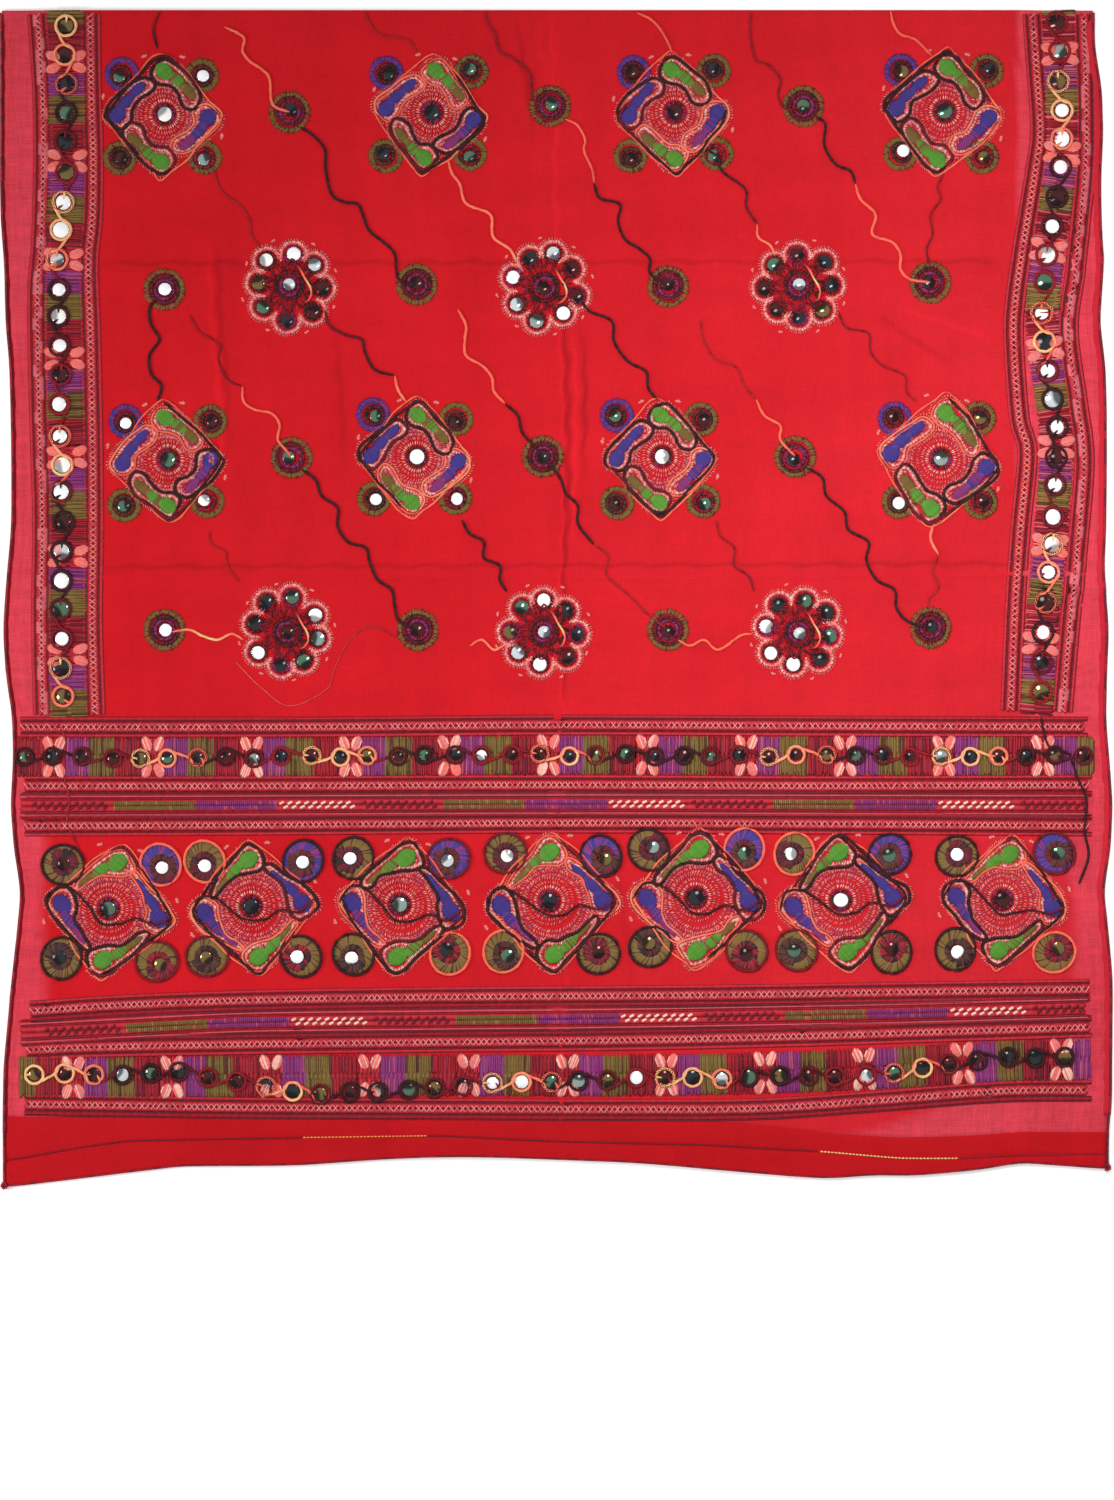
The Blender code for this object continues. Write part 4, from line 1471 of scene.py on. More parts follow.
def loop_round(places, radius):
    """A path that passes every mirror on alternate sides and circles it."""
    run = np.gradient(places, axis=0)
    run /= np.hypot(run[:, 0], run[:, 1])[:, None]
    knots = [places[0] - run[0] * LOOP_TAIL]
    for number, (place, way) in enumerate(zip(places, run)):
        side = 1 if number % 2 else -1
        normal = np.array([-way[1], way[0]]) * side
        for angle in np.radians([180, 235, 290, 345, 40, 95, 150, 205, 260, 315]):
            knots.append(place + radius * (way * math.cos(angle) + normal * math.sin(angle)))
    knots.append(places[-1] + run[-1] * LOOP_TAIL)
    return Path(knots)


BAND_TONES = (
    GREENISH, DARK, BROWN, BROWN, AMBER, GREENISH, DARK, BROWN, SMOKE, DARK, BROWN, DARK, AMBER, BROWN,
    GREENISH, DARK, PATCHED, BROWN, BROWN, DARK, AMBER, GREENISH, DARK, BROWN,
)
LOW_TONES = (
    AMBER, BROWN, BROWN, GREY, GREENISH, DARK, BROWN, BROWN, DARK, DARK, AMBER, BROWN, DARK, GREENISH,
    AMBER, BROWN, BRIGHT, BRIGHT, GREENISH, SMOKE, AMBER, BRIGHT, BROWN, DARK, GREY, GREENISH,
)
SIDE_TONES = (
    AMBER, BROWN, DARK, GREENISH, DARK, AMBER, BRIGHT, BRIGHT, GREY, BRIGHT, PATCHED, BRIGHT, BROWN,
    BRIGHT, BRIGHT, PATCHED, BRIGHT, BROWN, GREY, BRIGHT, GREENISH, BRIGHT, DARK, AMBER,
)
RIGHT_TONES = (
    BROWN, SMOKE, AMBER, BRIGHT, BRIGHT, BRIGHT, BROWN, BRIGHT, PATCHED, GREENISH, BRIGHT, DARK, BRIGHT,
    GREY, BRIGHT, BROWN, BRIGHT, BRIGHT, PATCHED, BRIGHT, BROWN, BRIGHT, DARK, AMBER,
)


LOOPED_TOGETHER = 2           # mirrors to one length of yarn


def dress_band(needle, skein, places, tones, radius, dyes):
    """Mirrors, the stitches that hold them, and the yarn that loops round them."""
    for number, place in enumerate(places):
        size = radius * RANDOM.uniform(0.88, 1.1)
        colour = ("maroon", "black", "dark_red", "black")[int(RANDOM.integers(0, 4))]
        set_mirror(needle, place, size, tones[number % len(tones)], colour)
    for first in range(0, len(places) - 1, LOOPED_TOGETHER):
        looped = places[first:first + LOOPED_TOGETHER + 1]
        dye = dyes[(first // LOOPED_TOGETHER) % len(dyes)]
        skein.lay(loop_round(looped, radius + 2.6), dye, 1.5, 0.8)


BAND_DYES = (
    (BLACK, BLACK), (MAROON, MAROON), (YELLOW, PEACH, ORANGE), (BLACK, BLACK), (MAROON, DARK_RED),
    (YELLOW, PEACH), (PEACH, BLACK, BLACK), (BLACK, MAROON), (DARK_RED, MAROON), (ORANGE, YELLOW, BLACK),
    (BLACK, BLACK),
)
upper_band = photo_path((18, 757), (300, 757), (560, 755), (820, 756), (1092, 756))
lower_band = photo_path(
    (20, 1077), (110, 1077), (250, 1076), (430, 1075), (620, 1075), (780, 1072), (900, 1067),
    (1000, 1061), (1090, 1059),
)
left_band = photo_path((66, 12), (68, 160), (64, 270), (66, 400), (69, 520), (68, 620), (70, 718))
right_band = photo_path(
    (1058, 12), (1062, 130), (1060, 170), (1048, 250), (1042, 305), (1043, 335), (1050, 390), (1056, 440),
    (1050, 540), (1042, 620), (1036, 714),
)
NO_STRAY = ((0, 0), (1, 0))
LOW_STRAY = ((0, 3), (0.15, 4), (0.27, -16), (0.36, -14), (0.46, -6), (0.6, -3), (0.8, -5), (0.9, 3), (1, 3))
LEFT_STRAY = ((0, 0), (0.2, -1), (0.35, -5), (1, -6))
RIGHT_STRAY = ((0, -2), (0.2, -1), (0.5, 0), (1, 2))
BAND_BLOCKS = (
    # path, half height, start of the cycle, threads of the petals, pitch of the stitches, and whether paler
    # threads are mixed in
    (upper_band, 20.5, 24.5, ("salmon", "pink", "pale"), 2.2, False),
    (lower_band, 21.5, 41.0, ("salmon", "pink", "pale"), 2.2, False),
    (left_band, 20.0, 38.0, ("salmon", "salmon", "pink"), 2.2, False),
    (right_band, 18.0, 30.0, ("salmon", "pink"), 2.6, True),
)
BAND_MIRRORS = (
    # path, pitch, start, stray, tones, radius of the mirrors, and which dye comes first
    (upper_band, 27.4, 8, NO_STRAY, BAND_TONES, 5.6, 0),
    (lower_band, 27.4, 16, LOW_STRAY, LOW_TONES, 6.2, 5),
    (left_band, 28.0, 14, LEFT_STRAY, SIDE_TONES, 7.2, 2),
    (right_band, 28.0, 10, RIGHT_STRAY, RIGHT_TONES, 7.4, 4),
)
needle, skein = Needle(), Skein()
for blocks in BAND_BLOCKS:
    sew_band_blocks(needle, *blocks)
needle.finish("stitches_bands")

needle = Needle()
for path, pitch, start, stray, tones, radius, first in BAND_MIRRORS:
    dyes = BAND_DYES[first:] + BAND_DYES[:first]
    dress_band(needle, skein, band_mirrors(path, pitch, start, stray), tones, radius, dyes)
needle.finish("stitches_rings")
skein.finish("yarn_bands")

# %% [markdown]
# ## Discs
# A disc is a mirror in a whirl of slanting maroon and purple stitches, with a halo round it. It stands
# alone in the field, and four of them sit round each diamond. The mirror is never quite in the middle.


# %% Sew a disc
HALO, OUTER, INNER = "halo", "outer", "inner"
DISC_KINDS = {
    # rings of stitches: inner and outer radius, how many, their width, which thread, and how far they slant
    "single": (
        (14.0, 19.4, 84, 2.0, HALO, 0.03), (15.4, 21.0, 110, 1.6, HALO, 0.06),
        (10.2, 15.6, 58, 2.0, OUTER, 0.32), (6.6, 11.4, 44, 1.9, INNER, 0.40),
    ),
    "corner": (
        (10.2, 15.4, 64, 2.0, HALO, 0.02), (11.6, 17.4, 96, 1.6, HALO, 0.06),
        (6.0, 11.4, 46, 2.1, OUTER, 0.30),
    ),
    "row": (
        (8.4, 20.0, 78, 2.8, HALO, 0.34), (5.6, 12.4, 54, 2.4, OUTER, 0.30),
    ),
    "middle": (
        (14.0, 27.0, 62, 1.7, HALO, 0.05), (9.6, 16.4, 58, 1.8, OUTER, 0.30),
        (6.0, 11.0, 40, 1.7, INNER, 0.35),
    ),
}
CRESCENT = 3.0                # radians of a row disc that are filled with dark thread


def sew_disc(needle, kind, centre, threads, tone, mirror_radius, mirror_at):
    """A round of stitches with a mirror off its middle; threads has those of the halo and each ring."""
    centre, mirror_at = np.asarray(centre, dtype=float), np.asarray(mirror_at)
    in_row = kind == "row"
    for inner, outer, count, width, which, slant in DISC_KINDS[kind]:
        middle = centre + 0.5 * mirror_at if which == OUTER else centre
        base = 0.1 if which == HALO else 0.3
        ragged = 0.14 if which == HALO and not in_row else 0.05
        radial(
            needle, middle, inner, outer, count, width, 0.45, threads[which], base, slant,
            ragged=ragged, full=in_row,
        )
    place = centre + mirror_at
    if in_row:
        shaded_side = math.atan2(mirror_at[1], mirror_at[0]) + RANDOM.uniform(-1.0, 1.0) - CRESCENT / 2
        radial(
            needle, place, mirror_radius, 15.0, 36, 2.6, 0.5, threads[OUTER], 0.36,
            0.3, shaded_side, CRESCENT, 0.1, True,
        )
    set_mirror(needle, place, mirror_radius, tone, threads[OUTER])


SINGLE_DISCS = (
    # column, row, tone of the mirror
    (290, 113, DARK), (550, 107, GREENISH), (803, 107, GREENISH),
    (165, 290, BRIGHT), (417, 285, BROWN), (668, 287, BROWN), (930, 283, DARK),
    (292, 458, GREENISH), (543, 457, DARK), (795, 457, DARK),
    (165, 630, BRIGHT), (418, 630, BROWN), (668, 630, BROWN), (930, 628, DARK),
)
SINGLE_THREADS = {
    HALO: ("olive",) * 4 + ("brown", "dark_red"),
    OUTER: ("maroon", "maroon", "black"),
    INNER: ("purple", "maroon"),
}
needle = Needle()
for column, row, tone in SINGLE_DISCS:
    stray = RANDOM.uniform(-3.2, 3.2, 2)
    sew_disc(needle, "single", from_photo(column, row), SINGLE_THREADS, tone, 6.2, stray)
print(len(SINGLE_DISCS), "single discs")


# %% [markdown]
# ## Flowers
# Eight mirrors stand round a maroon disc. Each has a dark ring and a scalloped border of pale
# herringbone, with a tiny tuft of salmon thread between two scallops. Yarn winds in and out between the
# mirrors and the middle.


# %% Sew the flowers
FLOWERS = (
    # column, row of the middle, turn, and the tones of the eight mirrors
    (290, 287, 0.10, (BROWN, BROWN, DARK, GREENISH, AMBER, PATCHED, BRIGHT, GREY)),
    (545, 287, 0.25, (BROWN, BRIGHT, SMOKE, GREY, BRIGHT, DARK, GREY, BROWN)),
    (798, 287, 0.00, (DARK, AMBER, DARK, BROWN, BROWN, GREENISH, BROWN, DARK)),
    (287, 632, 0.20, (SMOKE, GREENISH, DARK, BRIGHT, DARK, DARK, GREENISH, PATCHED)),
    (543, 632, 0.05, (DARK, BROWN, BRIGHT, GREY, AMBER, GREENISH, BRIGHT, DARK)),
    (798, 632, 0.15, (GREENISH, DARK, BRIGHT, BRIGHT, PATCHED, DARK, GREENISH, DARK)),
)
PETAL_REACH, TUFT_REACH = 31.0, 45.0
PETAL_OPENING = 1.95          # half the angle of a petal's border, in radians
PETAL_BORDER = (
    # inner and outer radius, how many, width, slant and threads
    (10.0, 13.8, 36, 2.0, 0.14, ("pink", "salmon", "rose")),
    (11.4, 14.8, 32, 1.9, -0.16, ("pale", "pink", "pink")),
    (13.4, 17.4, 26, 1.1, 0.04, ("pink", "salmon")),
)
MIDDLE_THREADS = {
    HALO: ("dark_red", "red", "maroon"),
    OUTER: ("maroon", "black"),
    INNER: ("purple", "maroon"),
}
PETAL_THREADS = (("maroon", "black"), ("black", "brown"), ("maroon", "purple"), ("brown", "maroon"))


def sew_flower(needle, skein, centre, turn, tones):
    """The middle disc, eight mirrors round it with their borders and tufts, and two lengths of yarn."""
    centre = np.array(centre)
    middle_tone = GREY if turn < 0.2 else BROWN
    sew_disc(needle, "middle", centre, MIDDLE_THREADS, middle_tone, 6.0, RANDOM.uniform(-2, 2, 2))
    for number, tone in enumerate(tones):
        angle = turn + number * math.tau / 8 + RANDOM.uniform(-0.06, 0.06)
        way = ways(angle)
        place = centre + (PETAL_REACH + RANDOM.uniform(-2.2, 2.2)) * way
        tray.put(place + 1.4 * way, 6.6, tone)
        threads = PETAL_THREADS[(number + int(turn * 40)) % len(PETAL_THREADS)]
        radial(needle, place, 5.4, 10.2, 30, 1.9, 1.4, threads, 0.1)
        first, sweep = angle - PETAL_OPENING, 2 * PETAL_OPENING
        for inner, outer, count, width, slant, threads in PETAL_BORDER:
            radial(needle, place, inner, outer, count, width, 0.8, threads, 0.1, slant, first, sweep)
        between = angle + math.tau / 16
        tuft(needle, centre + TUFT_REACH * ways(between), between, 3.6, 5)
    waves = np.linspace(0, math.tau, 33)[:-1]
    reach = 21.5 + 4.5 * np.cos(8 * waves) + RANDOM.uniform(-1, 1, 32)
    winding = centre + reach[:, None] * ways(waves + turn)
    skein.lay(Path(winding, closed=True), (BLACK, MAROON, MAROON, MAROON, BLACK), 1.1, 0.5)
    sweep = np.linspace(-1.5, 0.9, 9) + turn
    bow = centre + ways(sweep) * (19.5 + 3.0 * np.sin(3 * sweep))[:, None]
    skein.lay(Path(bow), (MAROON, ORANGE, YELLOW, ORANGE, MAROON), 1.1, 0.9)


field_skein = Skein()
for column, row, turn, tones in FLOWERS:
    sew_flower(needle, field_skein, from_photo(column, row), turn, tones)
needle.finish("stitches_flowers")

# %% [markdown]
# ## Diamonds
# The large motif is a square stood on its corner, with a boot-shaped lobe along the inside of each side,
# turning round the middle like a pinwheel: green and olive at top and bottom, violet and purple at the
# sides. The ground is open salmon hatching and the middle is a mirror in rays of pale pink. Dark yarn
# outlines the square and every boot. One drawing serves all of them; each is turned, stretched or
# mirrored a little.

# %% The drawing of a diamond, in millimetres from its middle
OUTLINE = (
    (0, -61), (10, -54), (22, -43), (34, -30), (46, -15), (56, -2), (48, 13), (36, 27), (24, 41),
    (10, 54), (0, 61), (-11, 52), (-23, 40), (-36, 26), (-49, 12), (-56, 0), (-47, -15), (-35, -29),
    (-23, -43), (-10, -55),
)
SLIM_BOOT = (
    (-10, -52), (-2, -57), (8, -54), (18, -43), (28, -31), (37, -19), (36, -12), (29, -16), (21, -25),
    (12, -30), (3, -31), (-8, -33), (-15, -41),
)
PLUMP_BOOT = (
    (-8, -50), (-1, -55), (8, -53), (20, -42), (31, -30), (37, -18), (31, -8), (21, -11), (14, -22),
    (6, -29), (-5, -31), (-12, -40),
)
BOOTS = {
    # by the way a diamond turns: its boots' outline, and the half widths of their leg and tip
    1: (PLUMP_BOOT, 6.0, 5.6),
    -1: (SLIM_BOOT, 5.4, 3.6),
}
BOOT_HEEL = (0.5, -43.5)      # the round lobe near the corner
BOOT_LEG = (13.5, -35.0)      # the lobe that runs from it along the side
BOOT_TIP = (25.0, -24.5)      # its thin end
BOOT_SLOPE = math.radians(44)
THROUGH = ((-56, 2), (-48, -13), (-33, -13), (-17, 1), (-5, 11), (10, 10), (24, 3), (40, 6), (55, -3))
TUFTS = ((-17, -53), (17, -53), (-53, -17), (53, 17))
CORNERS = ((-1, -1), (1, -1), (-1, 1), (1, 1))
CORNER_THREADS = (
    ("maroon", "black"), ("black", "brown", "maroon"), ("brown", "black"), ("maroon", "dark_red", "black"),
)
HEART_RINGS = (
    # inner and outer radius, how many, width, slant and threads of the rings round the middle mirror
    (6.2, 11.6, 34, 2.2, 0.12, ("purple", "maroon", "black", "brown")),
    (11.2, 16.0, 40, 1.5, 0.05, ("pale", "pink")),
    (15.6, 20.4, 46, 1.5, -0.06, ("pink", "rose", "pink")),
    (20.2, 24.6, 52, 1.4, 0.08, ("rose", "pink", "salmon")),
)
RAY_START, RAY_STOP, RAY_STEP = 22.0, 54.0, 3.7
RAY_LENGTH, RAY_WIDTH = 4.6, 2.1
RAY_SQUARE = 56.0             # rays stay inside the square with this half diagonal
RAY_THREADS = (("pink", "rose", "rose"), ("salmon", "rose", "mauve"), ("pink", "rose", "mauve"))
BOOT_THREADS = (
    # heel and leg of the boots at the top, right, bottom and left
    ("green", "olive"), ("violet", "purple"), ("green", "olive"), ("violet", "violet"),
)


def wandering(places, amount):
    """The same places, each moved a little, as a hand never follows a drawing twice."""
    return np.asarray(places) + RANDOM.uniform(-amount, amount, np.shape(places))


def fringe(needle, edge, side, pitch, near, reach, lean, width, lift, colour):
    """Short slanting stitches along one side of an edge."""
    along = np.arange(0, edge.length, pitch)
    far = side * RANDOM.uniform(*reach, len(along))
    needle.sew(edge.at(along, side * near), edge.at(along + lean, far), width, lift, colour, 0.1)


def sew_boot(needle, skein, centre, angle, scale, flip, heel_colour, leg_colour, dye):
    """One boot: pale fringes along both sides of its outline, three satin lobes and an edge of yarn."""
    def put(places):
        return turned(turned(places, (0, 0), angle[0]), centre, angle[1], scale, flip)

    lean = angle[0] + angle[1]
    outline, leg_width, tip_width = BOOTS[flip]
    edge = Path(put(wandering(outline, 1.6)), closed=True)
    inward = -1.0 if flip > 0 else 1.0
    pinks = ("pink", "pale", "salmon") if heel_colour == "violet" else ("salmon", "pink", "pale")
    fringe(needle, edge, inward, 1.5, 0.4, (4.6, 6.4), 1.4, 1.6, 0.5, pinks)
    fringe(needle, edge, -inward, 2.2, 0.8, (3.4, 5.4), -1.8, 1.5, 0.4, ("salmon", "rose", "pink"))
    across_leg = flip * (lean + BOOT_SLOPE + math.pi / 2)
    for lobe, threads in (
        (ellipse(9.5, tip_width, BOOT_TIP, BOOT_SLOPE), leg_colour),
        (ellipse(10.0, leg_width, BOOT_LEG, BOOT_SLOPE), (heel_colour, leg_colour, heel_colour)),
        (ellipse(9.2, 8.6, BOOT_HEEL, 0.4), heel_colour),
    ):
        satin(needle, put(lobe), across_leg, 1.25, 1.8, 0.6, threads, 0.3)
    skein.lay(edge, dye, 1.5 if dye[0] < SALMON else 1.1, 0.5)


def rays(needle, centre, turn, scale):
    """Rings of short slanting strokes round the middle, as far out as the sides of the square."""
    for ring, reach in enumerate(np.arange(RAY_START, RAY_STOP, RAY_STEP)):
        angle = spokes(int(math.tau * reach / RAY_WIDTH))
        slant = (0.10, -0.10)[ring % 2] * 20.0 / reach
        near, far = reach * ways(angle), (reach + RAY_LENGTH) * ways(angle + slant)
        kept = np.abs(far).sum(axis=1) < RAY_SQUARE
        near, far = (turned(places[kept], centre, turn, scale) for places in (near, far))
        needle.sew(near, far, RAY_WIDTH, 0.4, RAY_THREADS[ring % len(RAY_THREADS)])


def sew_diamond(needle, skein, place, turn, scale, flip, tone, dyes):
    """Hatched ground, the middle mirror in its rings, four boots, and the yarn that outlines it."""
    centre = np.array(place)
    rays(needle, centre, turn, scale)
    heart = turned([(2, -2)], centre, turn, scale, flip)[0]
    tray.put(heart, 7.0, tone)
    for inner, outer, count, width, slant, threads in HEART_RINGS:
        radial(needle, heart, inner, outer, count, width, 0.9, threads, 0.25, slant)
    for quarter, threads in enumerate(BOOT_THREADS):
        angles = (quarter * math.pi / 2, turn)
        sew_boot(needle, skein, centre, angles, scale, flip, *threads, dyes[quarter % len(dyes)])
    outline = turned(wandering(OUTLINE, 1.8), centre, turn, scale, flip)
    skein.lay(Path(outline, closed=True), (SALMON, PEACH, ORANGE, SALMON, ORANGE), 1.0, 0.3)
    first = int(RANDOM.integers(0, len(OUTLINE)))
    part = turned(wandering(np.roll(OUTLINE, -first, axis=0)[:12], 1.2), centre, turn, scale * 0.955, flip)
    skein.lay(Path(part), (BLACK, BLACK, MAROON), 1.5, 0.6)
    for place in turned(TUFTS, centre, turn, scale * 1.04, flip):
        tuft(needle, place, math.atan2(*(place - centre)[::-1]), 4.8, 6)


# %% Sew the diamonds
FIELD_DIAMONDS = (
    # column, row, turn, scale, tone of the middle, tones of the four discs
    (163, 117, 0.02, 1.00, PATCHED, (GREENISH, BRIGHT, BROWN, SMOKE)),
    (430, 115, 0.12, 0.97, DARK, (DARK, GREENISH, DARK, GREENISH)),
    (673, 115, -0.05, 0.98, BROWN, (BROWN, DARK, BROWN, GREENISH)),
    (942, 114, 0.10, 1.02, GREENISH, (AMBER, DARK, BRIGHT, AMBER)),
    (167, 462, -0.04, 0.97, GREENISH, (BRIGHT, BROWN, GREENISH, PATCHED)),
    (415, 459, 0.06, 0.96, BRIGHT, (GREENISH, BROWN, BRIGHT, BRIGHT)),
    (660, 459, 0.00, 0.96, PATCHED, (GREENISH, BROWN, BROWN, GREENISH)),
    (938, 461, 0.14, 1.06, SMOKE, (BROWN, AMBER, BRIGHT, BROWN)),
)
ROW_DIAMONDS = (
    (111, 911, 0.16, 1.08, GREENISH, (BROWN, BRIGHT, DARK, AMBER)),
    (254, 908, -0.10, 1.07, DARK, (BRIGHT, BRIGHT, AMBER, BRIGHT)),
    (402, 907, 0.10, 1.09, SMOKE, (BRIGHT, GREY, BRIGHT, DARK)),
    (552, 903, -0.04, 1.12, DARK, (PATCHED, AMBER, GREENISH, BROWN)),
    (698, 900, 0.04, 1.12, DARK, (SMOKE, GREENISH, AMBER, BROWN)),
    (843, 902, -0.08, 1.10, BRIGHT, (PATCHED, GREENISH, GREENISH, BROWN)),
    (1004, 902, 0.12, 1.06, BROWN, (BRIGHT, GREENISH, BRIGHT, AMBER)),
)
FIELD_REACH, ROW_REACH = 40.0, 46.5
BOOT_DYES = (
    ((BLACK, BLACK), (SALMON, PEACH), (BLACK, MAROON), (BLACK, BLACK)),
    ((SALMON, ORANGE), (BLACK, BLACK), (MAROON, BLACK), (PEACH, SALMON)),
    ((BLACK, BLACK), (PEACH, ORANGE), (SALMON, PEACH), (BLACK, MAROON)),
)
ROW_RING_DYES = (BLACK, ORANGE, BLACK, MAROON)
OLIVE_HALO, VIOLET_HALO = ("olive",) * 5 + ("brown",), ("violet", "purple", "violet")


def corner_disc(needle, kind, place, reach, corner, halo, tone, mirror_radius):
    """The disc at one corner of a diamond's square; gives back its middle."""
    spot = np.array(place) + reach * np.array(CORNERS[corner]) + RANDOM.uniform(-2.5, 2.5, 2)
    threads = {HALO: halo, OUTER: CORNER_THREADS[corner]}
    stray = 4.2 if kind == "row" else 3.0
    sew_disc(needle, kind, spot, threads, tone, mirror_radius, RANDOM.uniform(-stray, stray, 2))
    return spot


needle = Needle()
for number, (column, row, turn, scale, tone, tones) in enumerate(FIELD_DIAMONDS):
    place = from_photo(column, row)
    for corner in range(4):
        halo = VIOLET_HALO if corner == 0 else OLIVE_HALO
        corner_disc(needle, "corner", place, FIELD_REACH, corner, halo, tones[corner], 5.8)
    sew_diamond(needle, field_skein, place, turn, scale, 1, tone, BOOT_DYES[number % 3])
needle.finish("stitches_field")

needle, row_skein = Needle(), Skein()
for number, (column, row, turn, scale, tone, tones) in enumerate(ROW_DIAMONDS):
    place = from_photo(column, row)
    for corner in range(4):
        halo = VIOLET_HALO if corner == 1 else OLIVE_HALO
        spot = corner_disc(needle, "row", place, ROW_REACH, corner, halo, tones[corner], 6.4)
        dye = ROW_RING_DYES[(number + corner) % 4]
        ring = Path(ellipse(20.4, 19.0, spot, number + corner, 12), closed=True)
        row_skein.lay(ring, (dye, dye), 1.5, 0.4)
    sew_diamond(needle, row_skein, place, turn, scale, -1, tone, BOOT_DYES[(number + 1) % 3])
    across_it = turned(wandering(THROUGH, 1.5), place, turn, scale)
    row_skein.lay(Path(across_it), (BLACK, BLACK, MAROON), 1.2, 1.5)
needle.finish("stitches_diamonds")
row_skein.finish("yarn_diamonds")
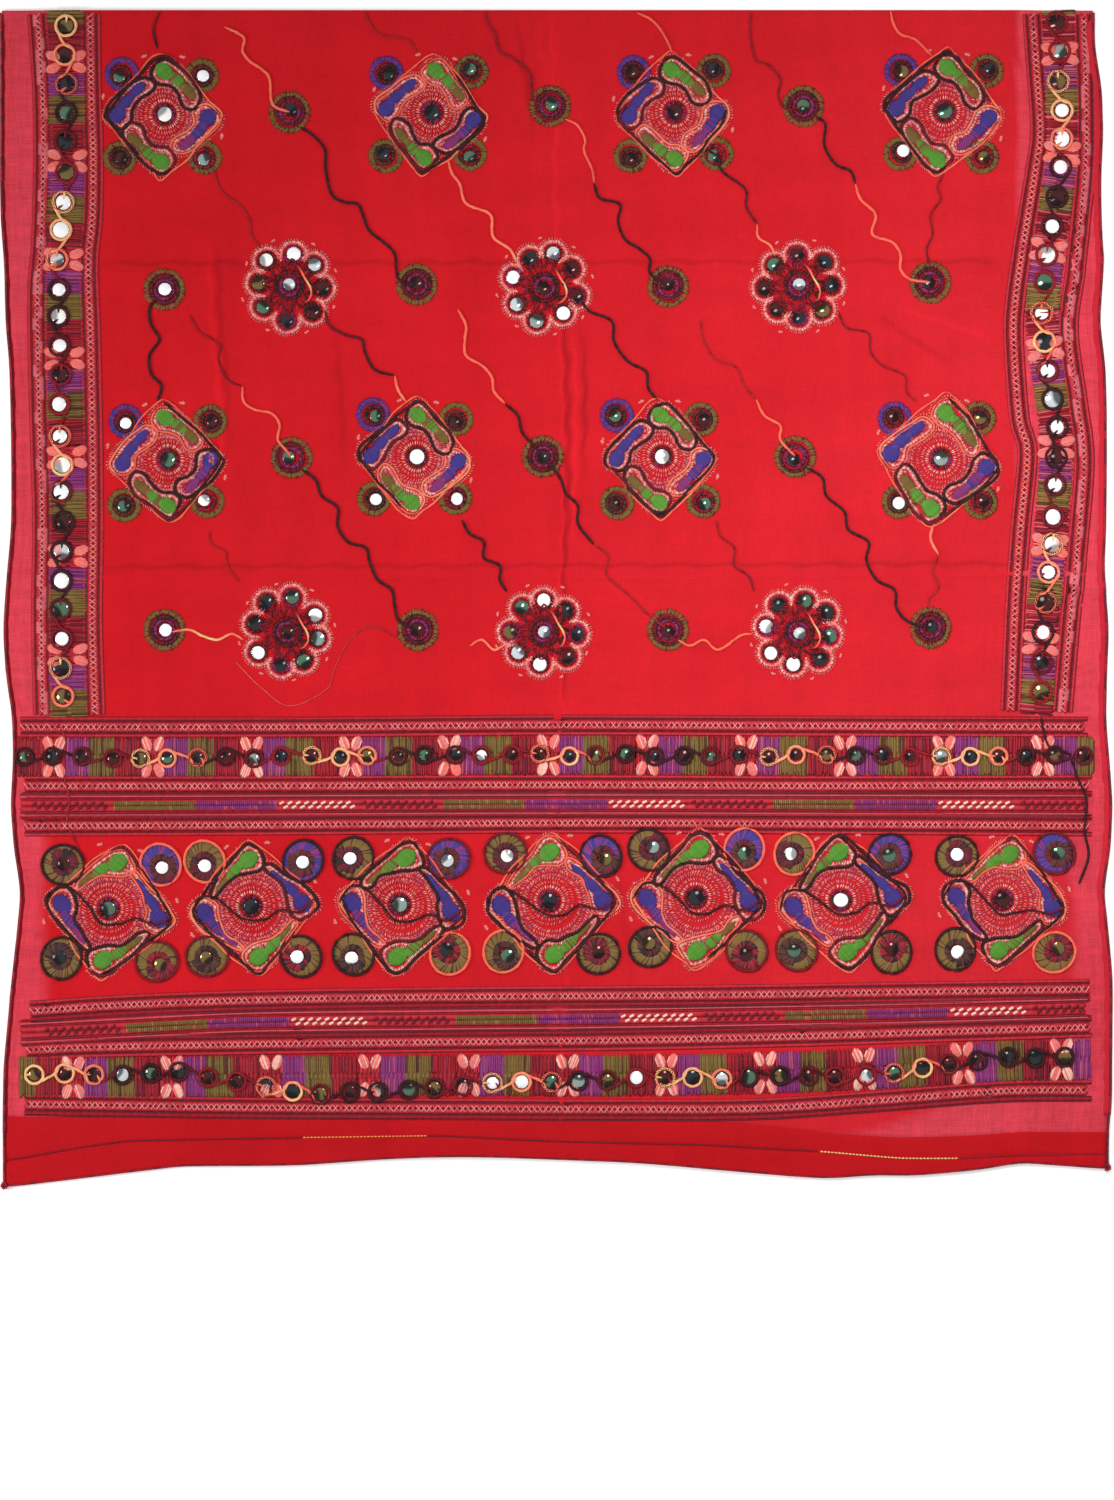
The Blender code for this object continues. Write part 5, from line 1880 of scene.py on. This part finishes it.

# %% [markdown]
# ## Wandering yarn
# Long lengths of the same yarn wander down the field from one motif to the next. Their routes are listed
# one by one, since no rule gives them, and each wriggles as a hand-laid yarn does.

# %% Lay the wandering yarn
RUNS = (
    # dyes, radius, then the places in photo pixels
    ((DARK_RED, BLACK), 1.1, ((160, 12), (154, 30), (158, 50))),
    ((ORANGE, ORANGE), 1.3, ((225, 28), (238, 34), (245, 40), (243, 52), (250, 62), (262, 70), (270, 80),
     (273, 105), (290, 113))),
    ((BLACK, BLACK), 1.3, ((300, 128), (312, 135), (325, 150), (326, 170), (332, 195), (345, 203),
     (358, 205), (364, 218), (370, 232), (384, 243), (395, 255), (399, 280), (417, 285))),
    ((DARK_RED, DARK_RED), 0.8, ((365, 12), (370, 24), (380, 35), (396, 38), (410, 42), (417, 54))),
    ((ORANGE, PEACH), 1.3, ((448, 160), (452, 174), (460, 185), (466, 204), (490, 215), (492, 232),
     (495, 240), (510, 250), (516, 262))),
    ((DARK_RED, MAROON), 1.1, ((485, 12), (488, 24), (495, 35), (500, 52), (514, 60), (530, 75),
     (533, 100), (550, 107))),
    ((ORANGE, ORANGE, SALMON), 1.1, ((565, 120), (577, 126), (585, 140), (584, 152), (592, 170),
     (594, 184))),
    ((BLACK, BLACK), 1.3, ((594, 184), (600, 199), (620, 205), (618, 222), (625, 240), (640, 250),
     (650, 260), (650, 274), (668, 287))),
    ((ORANGE, SALMON), 1.1, ((637, 14), (650, 20), (660, 30), (668, 44), (672, 54))),
    ((BLACK, MAROON), 1.2, ((705, 150), (718, 158), (722, 172), (745, 190), (746, 208), (757, 225))),
    ((ORANGE, PEACH), 1.1, ((757, 225), (758, 238), (770, 246), (774, 256))),
    ((DARK_RED, MAROON), 1.0, ((751, 12), (750, 34), (755, 60), (768, 66), (780, 80), (778, 96),
     (785, 110), (803, 107))),
    ((BLACK, BLACK), 1.3, ((815, 118), (825, 125), (824, 146), (835, 165), (850, 172), (855, 185))),
    ((ORANGE, ORANGE), 1.3, ((855, 185), (860, 200), (875, 215), (872, 235), (892, 243), (900, 255),
     (900, 270), (910, 280), (930, 283))),
    ((ORANGE, SALMON), 1.2, ((890, 12), (893, 25), (900, 35), (914, 40), (925, 50), (932, 58))),
    ((DARK_RED, MAROON), 1.0, ((943, 175), (937, 188), (940, 200), (930, 216), (932, 235), (926, 250),
     (930, 268))),
    ((DARK_RED, DARK_RED), 0.8, ((215, 170), (218, 184), (225, 195), (240, 206), (250, 220), (252, 236),
     (262, 250))),
    ((MAROON, BLACK), 1.2, ((325, 310), (330, 326), (345, 335), (362, 340), (365, 352), (375, 370),
     (395, 376))),
    ((ORANGE, PEACH), 1.3, ((395, 376), (398, 390), (406, 402))),
    ((BLACK, BLACK), 1.3, ((156, 300), (150, 310), (152, 326), (160, 340), (150, 356), (152, 375),
     (162, 386), (158, 402))),
    ((DARK_RED, MAROON), 0.8, ((190, 315), (200, 332), (220, 345), (219, 360), (228, 380), (243, 387))),
    ((ORANGE, ORANGE), 1.2, ((243, 387), (244, 402), (255, 410), (272, 414), (280, 425), (278, 440),
     (286, 450), (292, 458))),
    ((BLACK, BLACK), 1.3, ((302, 470), (316, 480), (322, 496), (338, 508), (338, 526), (348, 542),
     (366, 548), (370, 562), (378, 580), (392, 590), (395, 606), (400, 622), (418, 630))),
    ((BLACK, BLACK), 1.3, ((580, 300), (590, 312), (612, 322), (614, 342), (628, 362), (646, 372),
     (648, 388), (657, 400))),
    ((ORANGE, ORANGE), 1.3, ((458, 310), (466, 326), (465, 340), (466, 356), (482, 366), (492, 378),
     (494, 392), (505, 404))),
    ((BLACK, BLACK), 1.3, ((505, 404), (518, 416), (522, 432), (532, 444), (543, 457), (560, 478),
     (566, 494), (578, 506), (578, 524), (594, 545))),
    ((DARK_RED, DARK_RED), 0.8, ((594, 545), (608, 556), (606, 574), (620, 588), (634, 600), (645, 612),
     (668, 630))),
    ((DARK_RED, DARK_RED), 0.8, ((700, 320), (704, 342), (716, 360), (736, 368), (744, 386), (756, 400))),
    ((ORANGE, ORANGE), 1.2, ((756, 400), (764, 416), (780, 426), (780, 440), (795, 457))),
    ((BLACK, BLACK), 1.3, ((806, 468), (822, 478), (826, 496), (844, 512), (848, 530), (868, 542),
     (866, 560), (876, 580), (894, 590), (896, 608), (908, 622), (930, 628))),
    ((MAROON, DARK_RED), 0.9, ((838, 312), (846, 328), (868, 334), (870, 352), (882, 366), (904, 376),
     (906, 392), (916, 402))),
    ((BLACK, BLACK), 1.3, ((462, 520), (470, 534), (484, 542), (484, 558), (500, 566), (500, 580),
     (507, 592))),
    ((DARK_RED, DARK_RED), 0.7, ((210, 530), (212, 544), (226, 552), (228, 566), (240, 582))),
    ((DARK_RED, MAROON), 0.9, ((716, 520), (720, 536), (734, 548), (734, 566), (748, 576), (754, 592))),
    ((ORANGE, PEACH), 1.3, ((935, 520), (930, 538), (938, 555))),
    ((DARK_RED, DARK_RED), 0.9, ((938, 555), (932, 572), (938, 588), (928, 600), (930, 612))),
    ((ORANGE, YELLOW, ORANGE), 1.2, ((172, 632), (190, 630), (203, 636), (218, 640), (232, 634),
     (244, 640))),
    ((SALMON, DARK_RED), 0.6, ((236, 662), (262, 688), (290, 706), (326, 690), (335, 668), (350, 640),
     (372, 626), (398, 638))),
    ((ORANGE, PEACH), 1.2, ((470, 646), (482, 640), (494, 650), (506, 644))),
    ((ORANGE, ORANGE), 1.2, ((678, 640), (690, 646), (704, 640), (718, 650), (740, 636), (752, 634))),
    ((DARK_RED, DARK_RED), 0.8, ((58, 722), (66, 740), (64, 770), (70, 800), (68, 822), (80, 850))),
    ((BLACK, BLACK), 1.2, ((1040, 716), (1048, 746), (1068, 754), (1076, 776), (1086, 800), (1084, 830),
     (1088, 856), (1078, 884))),
)
for dyes, radius, places in RUNS:
    field_skein.lay(photo_path(*places), dyes, radius * 1.15, 0.15)
field_skein.finish("yarn_field")
tray.finish("mirrors")

# %% [markdown]
# ## Floor, light and camera
# The photograph was taken from straight above on white. A long lens a few metres up gives the same flat
# view. One small lamp leans towards the lower right and one stands at the left, because the real cloth is
# brighter there. They model the creases, and an even white sky fills the rest.


# %% Stage
def finish_of_floor():
    finish = Finish("floor_white", Roughness=0.9, Specular_IOR_Level=0.1)
    place = finish.place()
    tone = place.noise(3.0)
    finish.feed("Base Color", (tone * 0.01).mix(linear(252, 252, 252), linear(246, 247, 249)))
    finish.shader.inputs["Emission Color"].default_value = (1.0, 1.0, 1.0, 1.0)
    finish.shader.inputs["Emission Strength"].default_value = 0.15
    return finish.material


bpy.ops.mesh.primitive_plane_add(size=9.0, location=(0, 0, -0.0006))
floor = bpy.context.active_object
floor.name = "floor"
floor.data.materials.append(finish_of_floor())
floor.select_set(False)


def add_lamp(name, place, target, size, power):
    data = bpy.data.lights.new(name, "AREA")
    data.shape = "DISK"
    data.size = size
    data.energy = power
    lamp = bpy.data.objects.new(name, data)
    lamp.location = place
    lamp.rotation_euler = (Vector(target) - Vector(place)).to_track_quat("-Z", "Y").to_euler()
    bpy.context.scene.collection.objects.link(lamp)


LAMPS = (
    # name, place, what it points at, width in metres, power in watts
    ("window", (0.22, 0.28, 0.89), (0.8, -0.78, 0.0), 0.4, 8.2),
    ("left", (-1.6, -0.21, 0.9), (-0.8, -0.21, 0.0), 0.5, 13.0),
)
for lamp in LAMPS:
    add_lamp(*lamp)
sky = bpy.data.worlds.new("sky")
sky.use_nodes = True
background = sky.node_tree.nodes["Background"].inputs
background["Color"].default_value = (1.0, 1.0, 1.0, 1.0)
background["Strength"].default_value = 0.70
bpy.context.scene.world = sky
bpy.context.scene.view_settings.view_transform = "Standard"

# %% Camera
PHOTO_WIDTH, PHOTO_HEIGHT = 1114, 1500
LENS, SENSOR = 85.0, 36.0
view_across, view_down = from_photo(PHOTO_WIDTH / 2, PHOTO_HEIGHT / 2)
camera_data = bpy.data.cameras.new("camera")
camera_data.sensor_fit = "VERTICAL"
camera_data.sensor_height = SENSOR
camera_data.lens = LENS
camera = bpy.data.objects.new("camera", camera_data)
view_height = PHOTO_HEIGHT * PHOTO_PIXEL * LENS / SENSOR
camera.location = world(view_across, view_down, view_height)
bpy.context.scene.collection.objects.link(camera)
bpy.context.scene.camera = camera
print("camera at", [round(value, 3) for value in camera.location])
